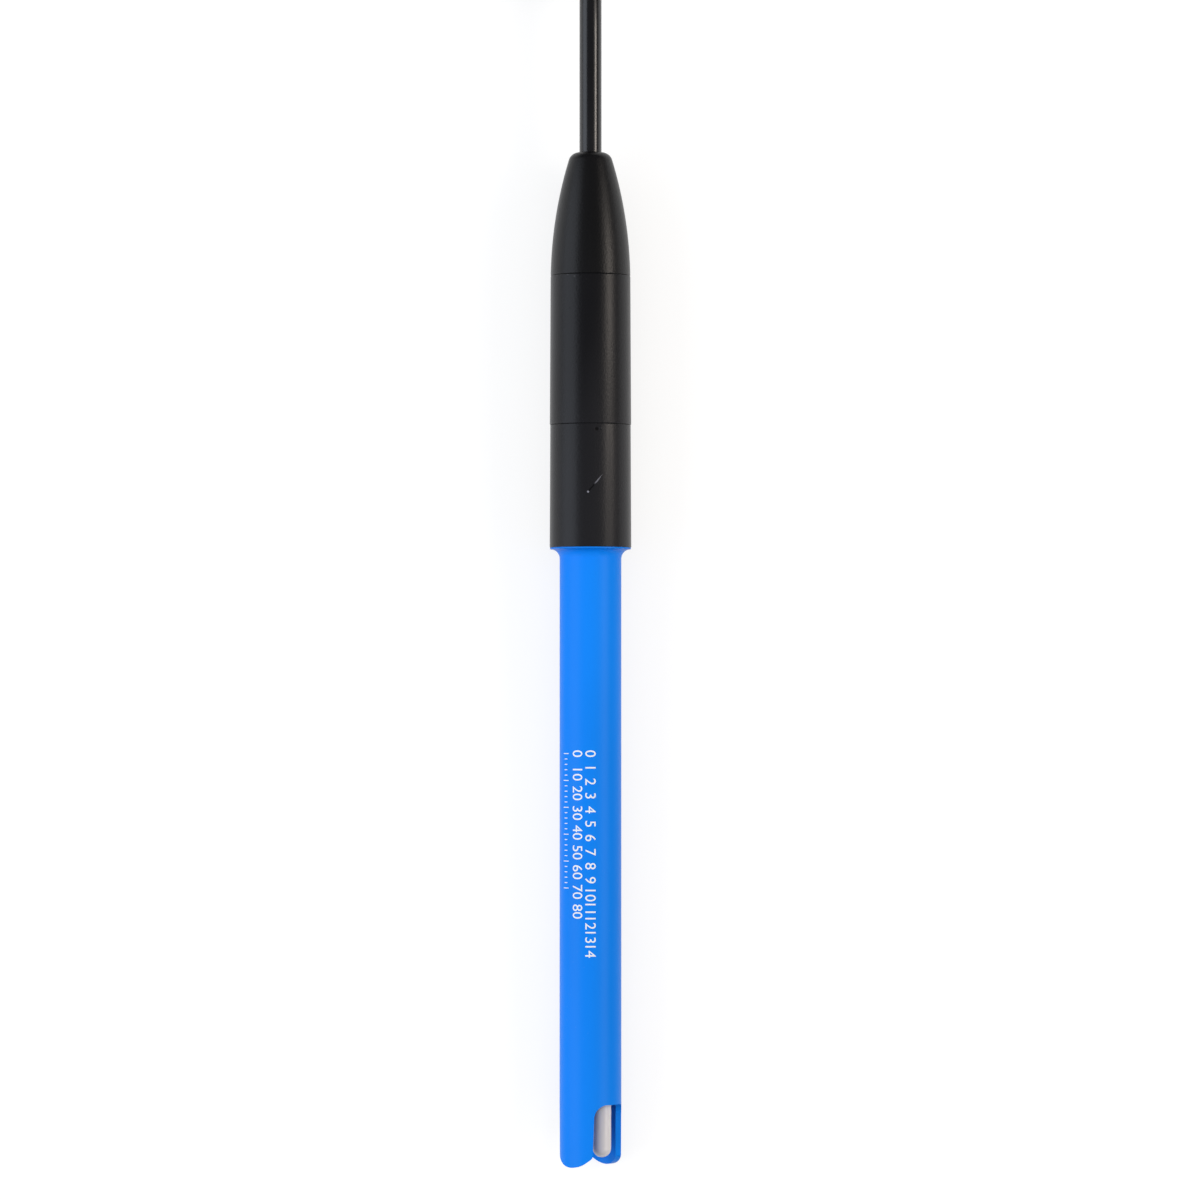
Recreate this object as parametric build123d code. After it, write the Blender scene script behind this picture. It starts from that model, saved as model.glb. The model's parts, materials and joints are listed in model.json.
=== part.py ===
from build123d import *
from math import atan2, cos, degrees, radians, sin, tan
import os

# A laboratory pH electrode with a fixed cable, lying on a bench.
# Lengths are millimetres. The electrode is modelled about its own axis (Z), with zero
# where the blue shaft meets the black head, the tip at negative Z and the cable at
# positive Z. The windows of the tip guard face +X and -X. lay_down() then puts it on
# the bench along +Y, with its tip guard turned as it lies in the photograph.

# Shaft, its flange and the tip guard
SHAFT_R = 6.0
SHAFT_BORE_R = 4.9
SHAFT_LENGTH = 120.0
FLANGE_R = 7.86
FLANGE_RIM = 0.3
FLANGE_FILLET = FLANGE_R - SHAFT_R
SPIGOT_R = 6.5
SPIGOT_LENGTH = 14.0
WINDOW_HEIGHT = 12.1
WINDOW_CORNER_R = 2.2
WINDOW_HALF_ANGLE = 43.5
WINDOW_END_ANGLE = 48.0
TONGUE_END_R = 5.2
TONGUE_HALF_WIDTH = 4.05
TONGUE_CORNER_R = 0.9
TONGUE_TRIM_HEIGHT = 5.0
GUARD_ROLL = -38.5

# Sensing parts in the shaft
GLASS_R = 1.8
GLASS_WALL = 0.45
GLASS_OFFSET = 2.85
GLASS_SETBACK = 1.8
GLASS_TOP = -12.0
STOPPER_LENGTH = 4.0
BUFFER_TOP = -60.0
SILVER_WIRE_R = 0.25
SILVER_WIRE_SETBACK = 8.0
PROBE_R = 1.3
PROBE_WALL = 0.2
PROBE_OFFSET = 2.6
PROBE_SETBACK = 3.0
PROBE_TOP = -2.0
THERMISTOR_R = 0.9
THERMISTOR_LEAD_R = 0.2
THERMISTOR_LEAD_GAP = 1.0
REFERENCE_WIRE_R = 0.3
REFERENCE_WIRE_SETBACK = 22.0
FIBRE_R = 0.5
FIBRE_OFFSET = 3.2
FIBRE_PROUD = 0.8
TIP_SEAL_ABOVE_WINDOW = 1.4
TIP_SEAL_LENGTH = 5.0
UPPER_SEAL_TOP = -4.0
UPPER_SEAL_LENGTH = 5.0
GEL_CLEARANCE = 0.05

# Head
SLEEVE_R = 7.94
SLEEVE_TOP_R = 7.83
SLEEVE_LENGTH = 23.9
BARREL_R = 7.92
BARREL_TOP_R = 7.77
BARREL_LENGTH = 29.0
BARREL_BORE_R = 6.7
BARREL_SPIGOT_LENGTH = 6.0
BARREL_SPIGOT_BORE_R = 5.1
BOOT_LENGTH = 24.1
BOOT_BASE_R = 7.76
BOOT_NECK_R = 4.4
BOOT_TOP_ROUNDING = 2.0
BOOT_FLANK_R = 82.0
BOOT_SPIGOT_LENGTH = 6.0
BOOT_SPIGOT_BORE_R = 4.9
BOOT_CAVITY_HEIGHT = 7.0
BOOT_CAVITY_TAPER = 4.0
HEAD_FIT = 0.05
SEAM_CHAMFER = 0.12
O_RING_SECTION = 0.9
O_RING_GROOVE = 1.2
O_RING_FROM_END = 4.0

# Electronics in the head
BOARD_WIDTH = 9.4
BOARD_THICKNESS = 1.0
BOARD_BOTTOM = 18.5
BOARD_BELOW_BOOT = 1.4
BOARD_FACE = -0.4
CARRIER_LENGTH = 3.0
CARRIER_BORE_R = 4.2
CONVERTER_SIDE = 6.0
CONVERTER_HEIGHT = 1.1
CONVERTER_SHARE = 0.52
MEMORY_WIDTH = 3.9
MEMORY_LENGTH = 4.9
MEMORY_HEIGHT = 0.9
MEMORY_SHARE = 0.26
CHIP_SIZE = (1.6, 0.8, 0.6)
CHIP_ROWS = 4
CHIP_PITCH = 3.2
SOCKET_SIZE = (6.0, 2.4, 3.0)
SOCKET_SHARE = 0.76
CONDUCTOR_R = 0.38
CONDUCTOR_PITCH = 0.8
LEAD_OVERLAP = 3.5

# Cable
CABLE_R = 2.15
CABLE_FIT = 0.05
CABLE_INSIDE = 20.0
CRIMP_R = 3.2
CRIMP_LENGTH = 3.5

# Route of the cable: straight out of the boot, then down to the hank's near fold
LEAD_STRAIGHT = 32.0
LEAD_DROP_END = 12.0
LEAD_DROP_RISE = 1.6
LEAD_IN_FOLD = 3.0
TAIL_BEFORE_FOLD = 3.0
TAIL_IN_FOLD = 8.0
TAIL_SIDE = 1.5
TAIL_RISE = 1.05
TAIL_STRAIGHT = 7.0
TAIL_IN_PLUG = 6.0

# Hank of stored cable, its tie, and the tail that ends in the plug
TIE_THICKNESS = 0.8
TIE_WIDTH = 9.0
HANK_FROM_BOOT = 56.5
HANK_RUN = 58.0
HANK_LAYERS = 3
HANK_ABREAST = 2
HANK_FOLD_R = 12.9
HANK_NECK_OFFSET = 2.3
HANK_EDGE = 1.4

# Plug and its coupling ring
PLUG_ON_HANK = 0.35
PLUG_START = 28.0
PLUG_SIDE = 3.0
RELIEF_LENGTH = 18.0
RELIEF_R = 3.1
RELIEF_BASE_R = 4.5
RELIEF_GROOVES = 4
RELIEF_GROOVE_PITCH = 2.8
RELIEF_GROOVE_WIDTH = 1.0
RELIEF_WALL = 0.7
PLUG_BODY_R = 5.3
PLUG_BODY_LENGTH = 14.0
PLUG_NOSE_R = 4.2
PLUG_NOSE_LENGTH = 17.0
PLUG_NOSE_BORE_R = 3.3
PLUG_EDGE = 0.5
COUPLING_R = 6.5
COUPLING_LENGTH = 13.0
COUPLING_FIT = 0.06
COUPLING_PLAY = 0.3
COUPLING_LIP = 3.0
COUPLING_THREAD_R = 5.6
COUPLING_FLUTES = 18
COUPLING_FLUTE_R = 0.55
COUPLING_FLUTE_OUT = 0.15
RETAINER_R = 5.1
RETAINER_LENGTH = 1.2
INSERT_SETBACK = 6.0
INSERT_LENGTH = 6.0
PIN_R = 0.5
PIN_CIRCLE_R = 1.7
PIN_COUNT = 4
PIN_PROUD = 5.0
SEAL_SECTION = 0.8

# Share of a corner's side that the handles of a quarter round take, for the form of a circle
QUARTER_PULL = 0.5523

# Places along the axis that several pieces share
TIP_Z = -SHAFT_LENGTH
WINDOW_Z = TIP_Z + WINDOW_HEIGHT
TIP_SEAL_Z = WINDOW_Z + TIP_SEAL_ABOVE_WINDOW
GEL_Z = TIP_SEAL_Z + TIP_SEAL_LENGTH
UPPER_SEAL_Z = UPPER_SEAL_TOP - UPPER_SEAL_LENGTH
BARREL_Z = SLEEVE_LENGTH
BOOT_Z = BARREL_Z + BARREL_LENGTH
BOOT_TOP_Z = BOOT_Z + BOOT_LENGTH
CABLE_END_Z = BOOT_TOP_Z - CABLE_INSIDE
BOARD_TOP = BOOT_Z - BOOT_SPIGOT_LENGTH - BOARD_BELOW_BOOT
BOARD_LENGTH = BOARD_TOP - BOARD_BOTTOM
MEMORY_Z = BOARD_BOTTOM + MEMORY_SHARE * BOARD_LENGTH
CONVERTER_Z = BOARD_BOTTOM + CONVERTER_SHARE * BOARD_LENGTH
SOCKET_Z = BOARD_BOTTOM + SOCKET_SHARE * BOARD_LENGTH
WIRE_TOP = BOARD_BOTTOM + LEAD_OVERLAP
SLEEVE_BORE_R = SPIGOT_R + HEAD_FIT
BOOT_SPIGOT_R = BARREL_BORE_R - HEAD_FIT
CABLE_BORE_R = CABLE_R + CABLE_FIT
HANK_OUTER_R = HANK_FOLD_R + 2 * CABLE_R * (HANK_ABREAST - 1)
HANK_NECK_HALF = HANK_NECK_OFFSET + CABLE_R * (2 * HANK_ABREAST - 1)
HANK_HEIGHT = 2 * CABLE_R * HANK_LAYERS
HANK_SIDE_R = HANK_OUTER_R + CABLE_R

# The waist is straight under the tie, and from there its fillet runs out to the fold
WAIST_REACH = (HANK_RUN - TIE_WIDTH) / 2
WAIST_FILLET = (WAIST_REACH**2 / (HANK_SIDE_R - HANK_NECK_HALF) - HANK_SIDE_R - HANK_NECK_HALF) / 2

# The electrode lies on its guard and on the lower edge of its head
TONGUE_REST_Z = TIP_Z + TONGUE_END_R * (1 - cos(radians(-GUARD_ROLL)))
REST_TILT = degrees(atan2(SLEEVE_R - SHAFT_R, -TONGUE_REST_Z))
AXIS_HEIGHT = SLEEVE_R * cos(radians(REST_TILT))


def turned(*points):
    """A solid turned about Z from (radius, height) corners."""
    return revolve(Plane.XZ * make_face(Polyline(*points, close=True)), Axis.Z)


def rod(radius, low, high, x=0.0, y=0.0):
    """A round rod along Z between two heights."""
    return Pos(x, y, low) * extrude(Circle(radius), high - low)


def block(width, depth, height, x, y, z):
    """A block on a centre in X and Y that stands on the height z."""
    return Pos(x, y, z + height / 2) * Box(width, depth, height)


def quarter(start, corner, end):
    """A quarter round from start to end that leaves and arrives along the corner's two sides."""
    start, corner, end = Vector(*start), Vector(*corner), Vector(*end)
    return Bezier(start, start + (corner - start) * QUARTER_PULL, end + (corner - end) * QUARTER_PULL, end)


def squeezed_ring(inner_r, section, z):
    """A rubber ring pressed flat on its four sides by its groove, centred on the height z."""
    half, flat = section / 2, section / 4
    middle = inner_r + half
    corners = [(half, flat), (flat, half), (-flat, half), (-half, flat),
               (-half, -flat), (-flat, -half), (flat, -half), (half, -flat)]
    return Pos(0, 0, z) * turned(*[(middle + r, height) for r, height in corners])


def o_ring(spigot_r, z):
    """A rubber ring in its groove."""
    return squeezed_ring(spigot_r - O_RING_SECTION, O_RING_SECTION, z)


def groove(spigot_r, z):
    """The room that an O-ring takes out of a spigot."""
    half = O_RING_GROOVE / 2
    outer = rod(spigot_r + 1, z - half, z + half)
    return outer - rod(spigot_r - O_RING_SECTION, z - half, z + half)


def window_cutter():
    """The arched opening between the two tongues of the guard, on the +X side."""
    reach = 2 * SHAFT_R
    low = TIP_Z - 1
    faces = []
    for height, angle in ((WINDOW_Z, WINDOW_HALF_ANGLE), (low, WINDOW_END_ANGLE)):
        side = reach * tan(radians(angle))
        sector = make_face(Polyline((0, 0), (reach, -side), (reach, side), close=True))
        faces.append(Pos(0, 0, height) * sector)
    wedge = loft(faces, ruled=True)
    half_top = SHAFT_R * sin(radians(WINDOW_HALF_ANGLE))
    half_low = SHAFT_R * sin(radians(WINDOW_END_ANGLE))
    corners = (-half_low, low), (half_low, low), (half_top, WINDOW_Z), (-half_top, WINDOW_Z)
    arch = make_face(Polyline(*corners, close=True))
    top_corners = arch.vertices().sort_by(Axis.Y)[-2:]
    arch = fillet(top_corners, WINDOW_CORNER_R)
    return wedge & extrude(Plane.YZ * arch, reach)


def tongue_trim():
    """What is cut from the end of the guard to round its two tongues."""
    low = TIP_Z - 1
    top = TIP_Z + TONGUE_TRIM_HEIGHT
    side_z = TIP_Z + TONGUE_END_R - (TONGUE_END_R**2 - TONGUE_HALF_WIDTH**2) ** 0.5
    end = ThreePointArc((-TONGUE_HALF_WIDTH, side_z), (0, TIP_Z), (TONGUE_HALF_WIDTH, side_z))
    sides = Polyline((TONGUE_HALF_WIDTH, side_z), (TONGUE_HALF_WIDTH, top), (-TONGUE_HALF_WIDTH, top),
                     (-TONGUE_HALF_WIDTH, side_z))
    tongue = make_face([end.edge(), *sides.edges()])
    tongue = fillet(tongue.vertices().sort_by(Axis.Y)[:2], TONGUE_CORNER_R)
    keep = extrude(Plane.XZ * tongue, SHAFT_R * 2, both=True)
    waste = block(4 * SHAFT_R, 4 * SHAFT_R, top - low, 0, 0, low)
    return waste - keep


def shaft_tube():
    """The blue tube with its flange, its spigot into the head and its tip guard."""
    rim_z = -FLANGE_RIM
    low = rim_z - FLANGE_FILLET
    outside = Polyline((SHAFT_BORE_R, TIP_Z), (SHAFT_R, TIP_Z), (SHAFT_R, low))
    flare = quarter((SHAFT_R, low), (SHAFT_R, rim_z), (FLANGE_R, rim_z))
    rest = Polyline((FLANGE_R, rim_z), (FLANGE_R, 0), (SPIGOT_R, 0), (SPIGOT_R, SPIGOT_LENGTH),
                    (SHAFT_BORE_R, SPIGOT_LENGTH), (SHAFT_BORE_R, TIP_Z))
    tube = revolve(Plane.XZ * make_face([*outside.edges(), flare.edge(), *rest.edges()]), Axis.Z)
    tube -= groove(SPIGOT_R, SPIGOT_LENGTH - O_RING_FROM_END)
    cutter = window_cutter()
    for turn in (0, 180):
        tube -= Rot(0, 0, turn) * cutter
    return tube - tongue_trim()


def round_ended(radius, low, high, x):
    """A rod with a half-round lower end."""
    return rod(radius, low + radius, high, x) + Pos(x, 0, low + radius) * Sphere(radius)


def glass_electrode():
    """The glass tube whose round end is the sensing membrane."""
    low = TIP_Z + GLASS_SETBACK
    inner = GLASS_R - GLASS_WALL
    tube = round_ended(GLASS_R, low, GLASS_TOP, GLASS_OFFSET)
    return tube - round_ended(inner, low + GLASS_WALL, GLASS_TOP + 1, GLASS_OFFSET)


def glass_fill():
    """The liquid inside the glass, the silver wire in it and the stopper above it."""
    low = TIP_Z + GLASS_SETBACK + GLASS_WALL
    inner = GLASS_R - GLASS_WALL
    wire = rod(SILVER_WIRE_R, TIP_Z + SILVER_WIRE_SETBACK, WIRE_TOP, GLASS_OFFSET)
    liquid = round_ended(inner, low, BUFFER_TOP, GLASS_OFFSET) - wire
    stopper = rod(inner, GLASS_TOP - STOPPER_LENGTH, GLASS_TOP, GLASS_OFFSET) - wire
    return {"inner_buffer": liquid, "silver_wire": wire, "glass_stopper": stopper}


def temperature_probe():
    """The steel tube with the thermistor and its two leads."""
    low = TIP_Z + PROBE_SETBACK
    inner = PROBE_R - PROBE_WALL
    tube = round_ended(PROBE_R, low, PROBE_TOP, -PROBE_OFFSET)
    tube -= round_ended(inner, low + PROBE_WALL, PROBE_TOP + 1, -PROBE_OFFSET)
    bead_z = low + PROBE_R
    bead = Pos(-PROBE_OFFSET, 0, bead_z) * Sphere(THERMISTOR_R)
    leads = []
    for side in (-1, 1):
        x = -PROBE_OFFSET + side * THERMISTOR_LEAD_GAP / 2
        leads.append(rod(THERMISTOR_LEAD_R, bead_z, WIRE_TOP, x) - bead)
    return {"temperature_tube": tube, "thermistor_bead": bead, "thermistor_leads": Compound(leads)}


def shaft_seals():
    """The tip seal, the fibre junction, the gel and the seal that closes it above."""
    glass = rod(GLASS_R, TIP_SEAL_Z - 1, GEL_Z + SHAFT_LENGTH, GLASS_OFFSET)
    probe = rod(PROBE_R, TIP_SEAL_Z - 1, GEL_Z + SHAFT_LENGTH, -PROBE_OFFSET)
    fibre = rod(FIBRE_R, TIP_SEAL_Z - FIBRE_PROUD, GEL_Z + FIBRE_PROUD, 0, FIBRE_OFFSET)
    reference = rod(REFERENCE_WIRE_R, TIP_Z + REFERENCE_WIRE_SETBACK, WIRE_TOP)
    silver = rod(SILVER_WIRE_R, UPPER_SEAL_Z - 1, WIRE_TOP, GLASS_OFFSET)
    tip_seal = rod(SHAFT_BORE_R, TIP_SEAL_Z, GEL_Z) - glass - probe - fibre
    gel = rod(SHAFT_BORE_R - GEL_CLEARANCE, GEL_Z, UPPER_SEAL_Z) - glass - probe - fibre - reference
    upper = rod(SHAFT_BORE_R, UPPER_SEAL_Z, UPPER_SEAL_TOP) - probe - reference - silver
    return {"tip_seal": tip_seal, "fibre_junction": fibre, "gel_electrolyte": gel,
            "upper_seal": upper, "reference_wire": reference}


def head_sleeve():
    """The lower black ring of the head, over the shaft's spigot."""
    return turned((SLEEVE_BORE_R, 0), (SLEEVE_R, 0), (SLEEVE_TOP_R, BARREL_Z - SEAM_CHAMFER),
                  (SLEEVE_TOP_R - SEAM_CHAMFER, BARREL_Z), (SLEEVE_BORE_R, BARREL_Z))


def head_barrel():
    """The black housing of the electronics, with a spigot into the sleeve."""
    low = BARREL_Z - BARREL_SPIGOT_LENGTH
    shoulder = BARREL_Z + 2
    barrel = turned((BARREL_SPIGOT_BORE_R, low), (SPIGOT_R, low), (SPIGOT_R, BARREL_Z),
                    (BARREL_R - SEAM_CHAMFER, BARREL_Z), (BARREL_R, BARREL_Z + SEAM_CHAMFER),
                    (BARREL_TOP_R, BOOT_Z - SEAM_CHAMFER), (BARREL_TOP_R - SEAM_CHAMFER, BOOT_Z),
                    (BARREL_BORE_R, BOOT_Z), (BARREL_BORE_R, shoulder), (BARREL_SPIGOT_BORE_R, shoulder))
    return barrel - groove(SPIGOT_R, low + O_RING_FROM_END / 2)


def boot_cap():
    """The ogive boot that closes the head and grips the cable."""
    neck_z = BOOT_TOP_Z - BOOT_TOP_ROUNDING
    low = BOOT_Z - BOOT_SPIGOT_LENGTH
    cavity = BOOT_Z + BOOT_CAVITY_HEIGHT
    crown_r = BOOT_NECK_R - BOOT_TOP_ROUNDING
    flank = RadiusArc((BOOT_BASE_R, BOOT_Z + SEAM_CHAMFER), (BOOT_NECK_R, neck_z), -BOOT_FLANK_R)
    crown = quarter((BOOT_NECK_R, neck_z), (BOOT_NECK_R, BOOT_TOP_Z), (crown_r, BOOT_TOP_Z))
    base = Polyline((BOOT_SPIGOT_R, BOOT_Z), (BOOT_BASE_R - SEAM_CHAMFER, BOOT_Z),
                    (BOOT_BASE_R, BOOT_Z + SEAM_CHAMFER))
    inside = Polyline((crown_r, BOOT_TOP_Z), (CABLE_BORE_R, BOOT_TOP_Z),
                      (CABLE_BORE_R, cavity + BOOT_CAVITY_TAPER), (BOOT_SPIGOT_BORE_R, cavity),
                      (BOOT_SPIGOT_BORE_R, low), (BOOT_SPIGOT_R, low), (BOOT_SPIGOT_R, BOOT_Z))
    edges = [*base.edges(), flank.edge(), crown.edge(), *inside.edges()]
    return revolve(Plane.XZ * make_face(edges), Axis.Z)


def head_o_rings():
    """The two rubber rings of the head."""
    return {"lower_o_ring": o_ring(SPIGOT_R, SPIGOT_LENGTH - O_RING_FROM_END),
            "upper_o_ring": o_ring(SPIGOT_R, BARREL_Z - BARREL_SPIGOT_LENGTH + O_RING_FROM_END / 2)}


def electronics():
    """The board with its chips and socket, and the ring that centres it."""
    middle = BOARD_FACE - BOARD_THICKNESS / 2
    board = block(BOARD_WIDTH, BOARD_THICKNESS, BOARD_LENGTH, 0, middle, BOARD_BOTTOM)
    low = BOARD_TOP - CARRIER_LENGTH
    carrier = rod(BARREL_BORE_R - HEAD_FIT, low, BOARD_TOP) - rod(CARRIER_BORE_R, low, BOARD_TOP) - board
    width, depth, height = SOCKET_SIZE
    pieces = {
        "circuit_board": board,
        "board_carrier": carrier,
        "converter_chip": block(CONVERTER_SIDE, CONVERTER_HEIGHT, CONVERTER_SIDE, 0,
                                BOARD_FACE + CONVERTER_HEIGHT / 2, CONVERTER_Z - CONVERTER_SIDE / 2),
        "memory_chip": block(MEMORY_WIDTH, MEMORY_HEIGHT, MEMORY_LENGTH, 0,
                             BOARD_FACE + MEMORY_HEIGHT / 2, MEMORY_Z - MEMORY_LENGTH / 2),
        "board_socket": block(width, depth, height, 0, BOARD_FACE + depth / 2, SOCKET_Z - height / 2),
    }
    back = BOARD_FACE - BOARD_THICKNESS
    chip_width, chip_length, chip_height = CHIP_SIZE
    chips = []
    for row in range(CHIP_ROWS):
        for side in (-1, 1):
            z = BOARD_BOTTOM + BOARD_LENGTH / 2 + (row - (CHIP_ROWS - 1) / 2) * CHIP_PITCH
            x = side * BOARD_WIDTH / 4
            chips.append(block(chip_width, chip_height, chip_length, x, back - chip_height / 2, z))
    pieces["board_chips"] = Compound(chips)
    return pieces


def cable_fittings():
    """The four conductors from the cable's end to the socket, and the crimp on the cable."""
    socket_top = SOCKET_Z + SOCKET_SIZE[2] / 2
    wires = []
    for place in range(4):
        x = (place - 1.5) * CONDUCTOR_PITCH
        wires.append(rod(CONDUCTOR_R, socket_top, CABLE_END_Z, x, CABLE_R / 2))
    crimp_z = CABLE_END_Z + 1
    crimp = rod(CRIMP_R, crimp_z, crimp_z + CRIMP_LENGTH) - rod(CABLE_R, crimp_z, crimp_z + CRIMP_LENGTH)
    return {"conductor_leads": Compound(wires), "cable_crimp": crimp}


def lay_down(pieces):
    """Turns the upright electrode to its place on the bench, centred along Y."""
    turn = Location((0, 0, AXIS_HEIGHT), (REST_TILT - 90, 0, 0)) * Rot(0, 0, GUARD_ROLL)
    laid = {name: turn * piece for name, piece in pieces.items()}
    box = Compound(list(laid.values())).bounding_box()
    centring = Pos(0, -box.center().Y, 0)
    laid = {name: centring * piece for name, piece in laid.items()}
    return laid, centring * turn


def corner_radii(points):
    """Each arc's radius: 0.45 of its shorter run over the tangent of half the turn."""
    radii = []
    for before, here, after in zip(points, points[1:], points[2:]):
        first, second = here - before, after - here
        half = radians(first.get_angle(second)) / 2
        radii.append(0.45 * min(first.length, second.length) / tan(half))
    return radii


def cord_tube(name, points):
    """A plain tube of the cable's size along straight runs joined by arcs."""
    points = [Vector(*point) for point in points]
    radii = corner_radii(points)
    path = FilletPolyline(*points, radius=radii)
    tube = sweep(Plane(origin=path @ 0, z_dir=path % 0) * Circle(CABLE_R), path=path)
    share = tube.volume / (path.length * Circle(CABLE_R).area)
    print(name, "length", round(path.length, 1), "share", round(share, 4),
          "radii", [round(r, 1) for r in radii])
    return tube


def hank_outline(half_run, fold_r, neck_half):
    """The waisted outline of the tied hank, seen from above."""
    outline = Rectangle(2 * neck_half, 2 * half_run)
    for end in (-1, 1):
        outline += Pos(0, end * half_run) * Circle(fold_r)
    waist = [v for v in outline.vertices() if abs(v.Y) < half_run and abs(abs(v.X) - neck_half) < 0.01]
    return fillet(waist, WAIST_FILLET)


def cable_hank():
    """The stored turns as one closed shape with an eye at each end."""
    half_run = HANK_RUN / 2
    hank = extrude(hank_outline(half_run, HANK_SIDE_R, HANK_NECK_HALF), HANK_HEIGHT)
    hank = chamfer(hank.edges().group_by(Axis.Z)[0] + hank.edges().group_by(Axis.Z)[-1], HANK_EDGE)
    for end in (-1, 1):
        hank -= Pos(0, end * half_run) * extrude(Circle(HANK_FOLD_R - CABLE_R), HANK_HEIGHT)
    return Pos(0, 0, TIE_THICKNESS) * hank


def hank_tie():
    """The strap round the waist of the hank."""
    width = 2 * HANK_NECK_HALF
    growth = 2 * TIE_THICKNESS
    inner = RectangleRounded(width, HANK_HEIGHT, HANK_EDGE)
    outer = RectangleRounded(width + growth, HANK_HEIGHT + growth, HANK_EDGE + TIE_THICKNESS)
    band = extrude(Plane.XZ * (outer - inner), TIE_WIDTH / 2, both=True)
    return Pos(0, 0, TIE_THICKNESS + HANK_HEIGHT / 2) * band


def plug_pieces():
    """The plug about its own Z axis, from the cable end of its relief to its pins."""
    body_z = RELIEF_LENGTH
    nose_z = body_z + PLUG_BODY_LENGTH
    end_z = nose_z + PLUG_NOSE_LENGTH
    relief = turned((CABLE_R, 0), (RELIEF_R, 0), (RELIEF_BASE_R, body_z), (CABLE_R, body_z))
    for number in range(RELIEF_GROOVES):
        z = (number + 1) * RELIEF_GROOVE_PITCH
        top = z + RELIEF_GROOVE_WIDTH
        relief -= rod(PLUG_BODY_R, z, top) - rod(CABLE_R + RELIEF_WALL, z, top)
    insert_top = end_z - INSERT_SETBACK
    insert_z = insert_top - INSERT_LENGTH
    body = turned((0, body_z), (PLUG_BODY_R - PLUG_EDGE, body_z), (PLUG_BODY_R, body_z + PLUG_EDGE),
                  (PLUG_BODY_R, nose_z), (PLUG_NOSE_R, nose_z), (PLUG_NOSE_R, end_z),
                  (PLUG_NOSE_BORE_R, end_z), (PLUG_NOSE_BORE_R, insert_z), (0, insert_z))
    insert = rod(PLUG_NOSE_BORE_R, insert_z, insert_top)
    pins = []
    for number in range(PIN_COUNT):
        spot = Rot(0, 0, number * 360 / PIN_COUNT) * Pos(PIN_CIRCLE_R, 0, 0)
        pins.append(spot * contact_pin(insert_top - INSERT_LENGTH / 2, insert_top + PIN_PROUD))
        insert -= spot * rod(PIN_R, insert_top - INSERT_LENGTH / 2, insert_top + PIN_PROUD)
    ring_z = nose_z + COUPLING_PLAY
    retainer_z = ring_z + COUPLING_LIP + COUPLING_PLAY
    retainer_top = retainer_z + RETAINER_LENGTH
    retainer = rod(RETAINER_R, retainer_z, retainer_top) - rod(PLUG_NOSE_R, retainer_z, retainer_top)
    seal_z = retainer_top + SEAL_SECTION / 2
    seal = squeezed_ring(PLUG_NOSE_R, SEAL_SECTION, seal_z)
    return {"plug_relief": relief, "plug_body": body, "plug_insert": insert, "plug_pins": Compound(pins),
            "coupling_ring": coupling_ring(ring_z), "ring_retainer": retainer, "plug_seal": seal}


def contact_pin(low, high):
    """One contact pin with a bevelled nose."""
    return turned((0, low), (PIN_R, low), (PIN_R, high - PIN_R), (PIN_R / 2, high), (0, high))


def coupling_ring(low):
    """The fluted nut that turns on the plug's nose."""
    high = low + COUPLING_LENGTH
    bore = PLUG_NOSE_R + COUPLING_FIT
    ring = turned((bore, low), (COUPLING_R - PLUG_EDGE, low), (COUPLING_R, low + PLUG_EDGE),
                  (COUPLING_R, high - PLUG_EDGE), (COUPLING_R - PLUG_EDGE, high), (COUPLING_THREAD_R, high),
                  (COUPLING_THREAD_R, low + COUPLING_LIP), (bore, low + COUPLING_LIP))
    flute = rod(COUPLING_FLUTE_R, low - 1, high + 1, COUPLING_R + COUPLING_FLUTE_OUT)
    for number in range(COUPLING_FLUTES):
        ring -= Rot(0, 0, number * 360 / COUPLING_FLUTES) * flute
    return ring


def cable_and_plug(place):
    """The lead, the stored hank, its tie and the plug that lies on it."""
    exit_point = (place * Location((0, 0, BOOT_TOP_Z))).position
    start = (place * Location((0, 0, CABLE_END_Z))).position
    bend = (place * Location((0, 0, BOOT_TOP_Z + LEAD_STRAIGHT))).position
    near_y = exit_point.Y + HANK_FROM_BOOT
    hank_x, hank_y = -HANK_OUTER_R, near_y + HANK_RUN / 2
    floor_z = TIE_THICKNESS + CABLE_R
    lead = cord_tube("cable_lead", [start, bend, (0, near_y - LEAD_DROP_END, floor_z + LEAD_DROP_RISE),
                                    (0, near_y + LEAD_IN_FOLD, floor_z)])
    hank_top = TIE_THICKNESS + HANK_HEIGHT
    plug_x, plug_y = hank_x + PLUG_SIDE, near_y + PLUG_START
    plug_z = hank_top + PLUG_ON_HANK + COUPLING_R
    inner_x = hank_x + HANK_FOLD_R
    top_z = hank_top - CABLE_R
    tail = cord_tube("cable_tail", [(inner_x, near_y - TAIL_BEFORE_FOLD, top_z),
                                    (inner_x - TAIL_SIDE, near_y + TAIL_IN_FOLD, top_z + TAIL_RISE),
                                    (plug_x, plug_y - TAIL_STRAIGHT, plug_z),
                                    (plug_x, plug_y + TAIL_IN_PLUG, plug_z)])
    plug_place = Location((plug_x, plug_y, plug_z), (-90, 0, 0))
    pieces = {"cable_lead": lead, "cable_tail": tail,
              "cable_hank": Pos(hank_x, hank_y, 0) * cable_hank(),
              "hank_tie": Pos(hank_x, hank_y, 0) * hank_tie()}
    pieces.update({name: plug_place * piece for name, piece in plug_pieces().items()})
    print("hank at", round(hank_x, 2), round(hank_y, 2), "plug at", round(plug_x, 2), round(plug_y, 2),
          round(plug_z, 2))
    return pieces


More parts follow.
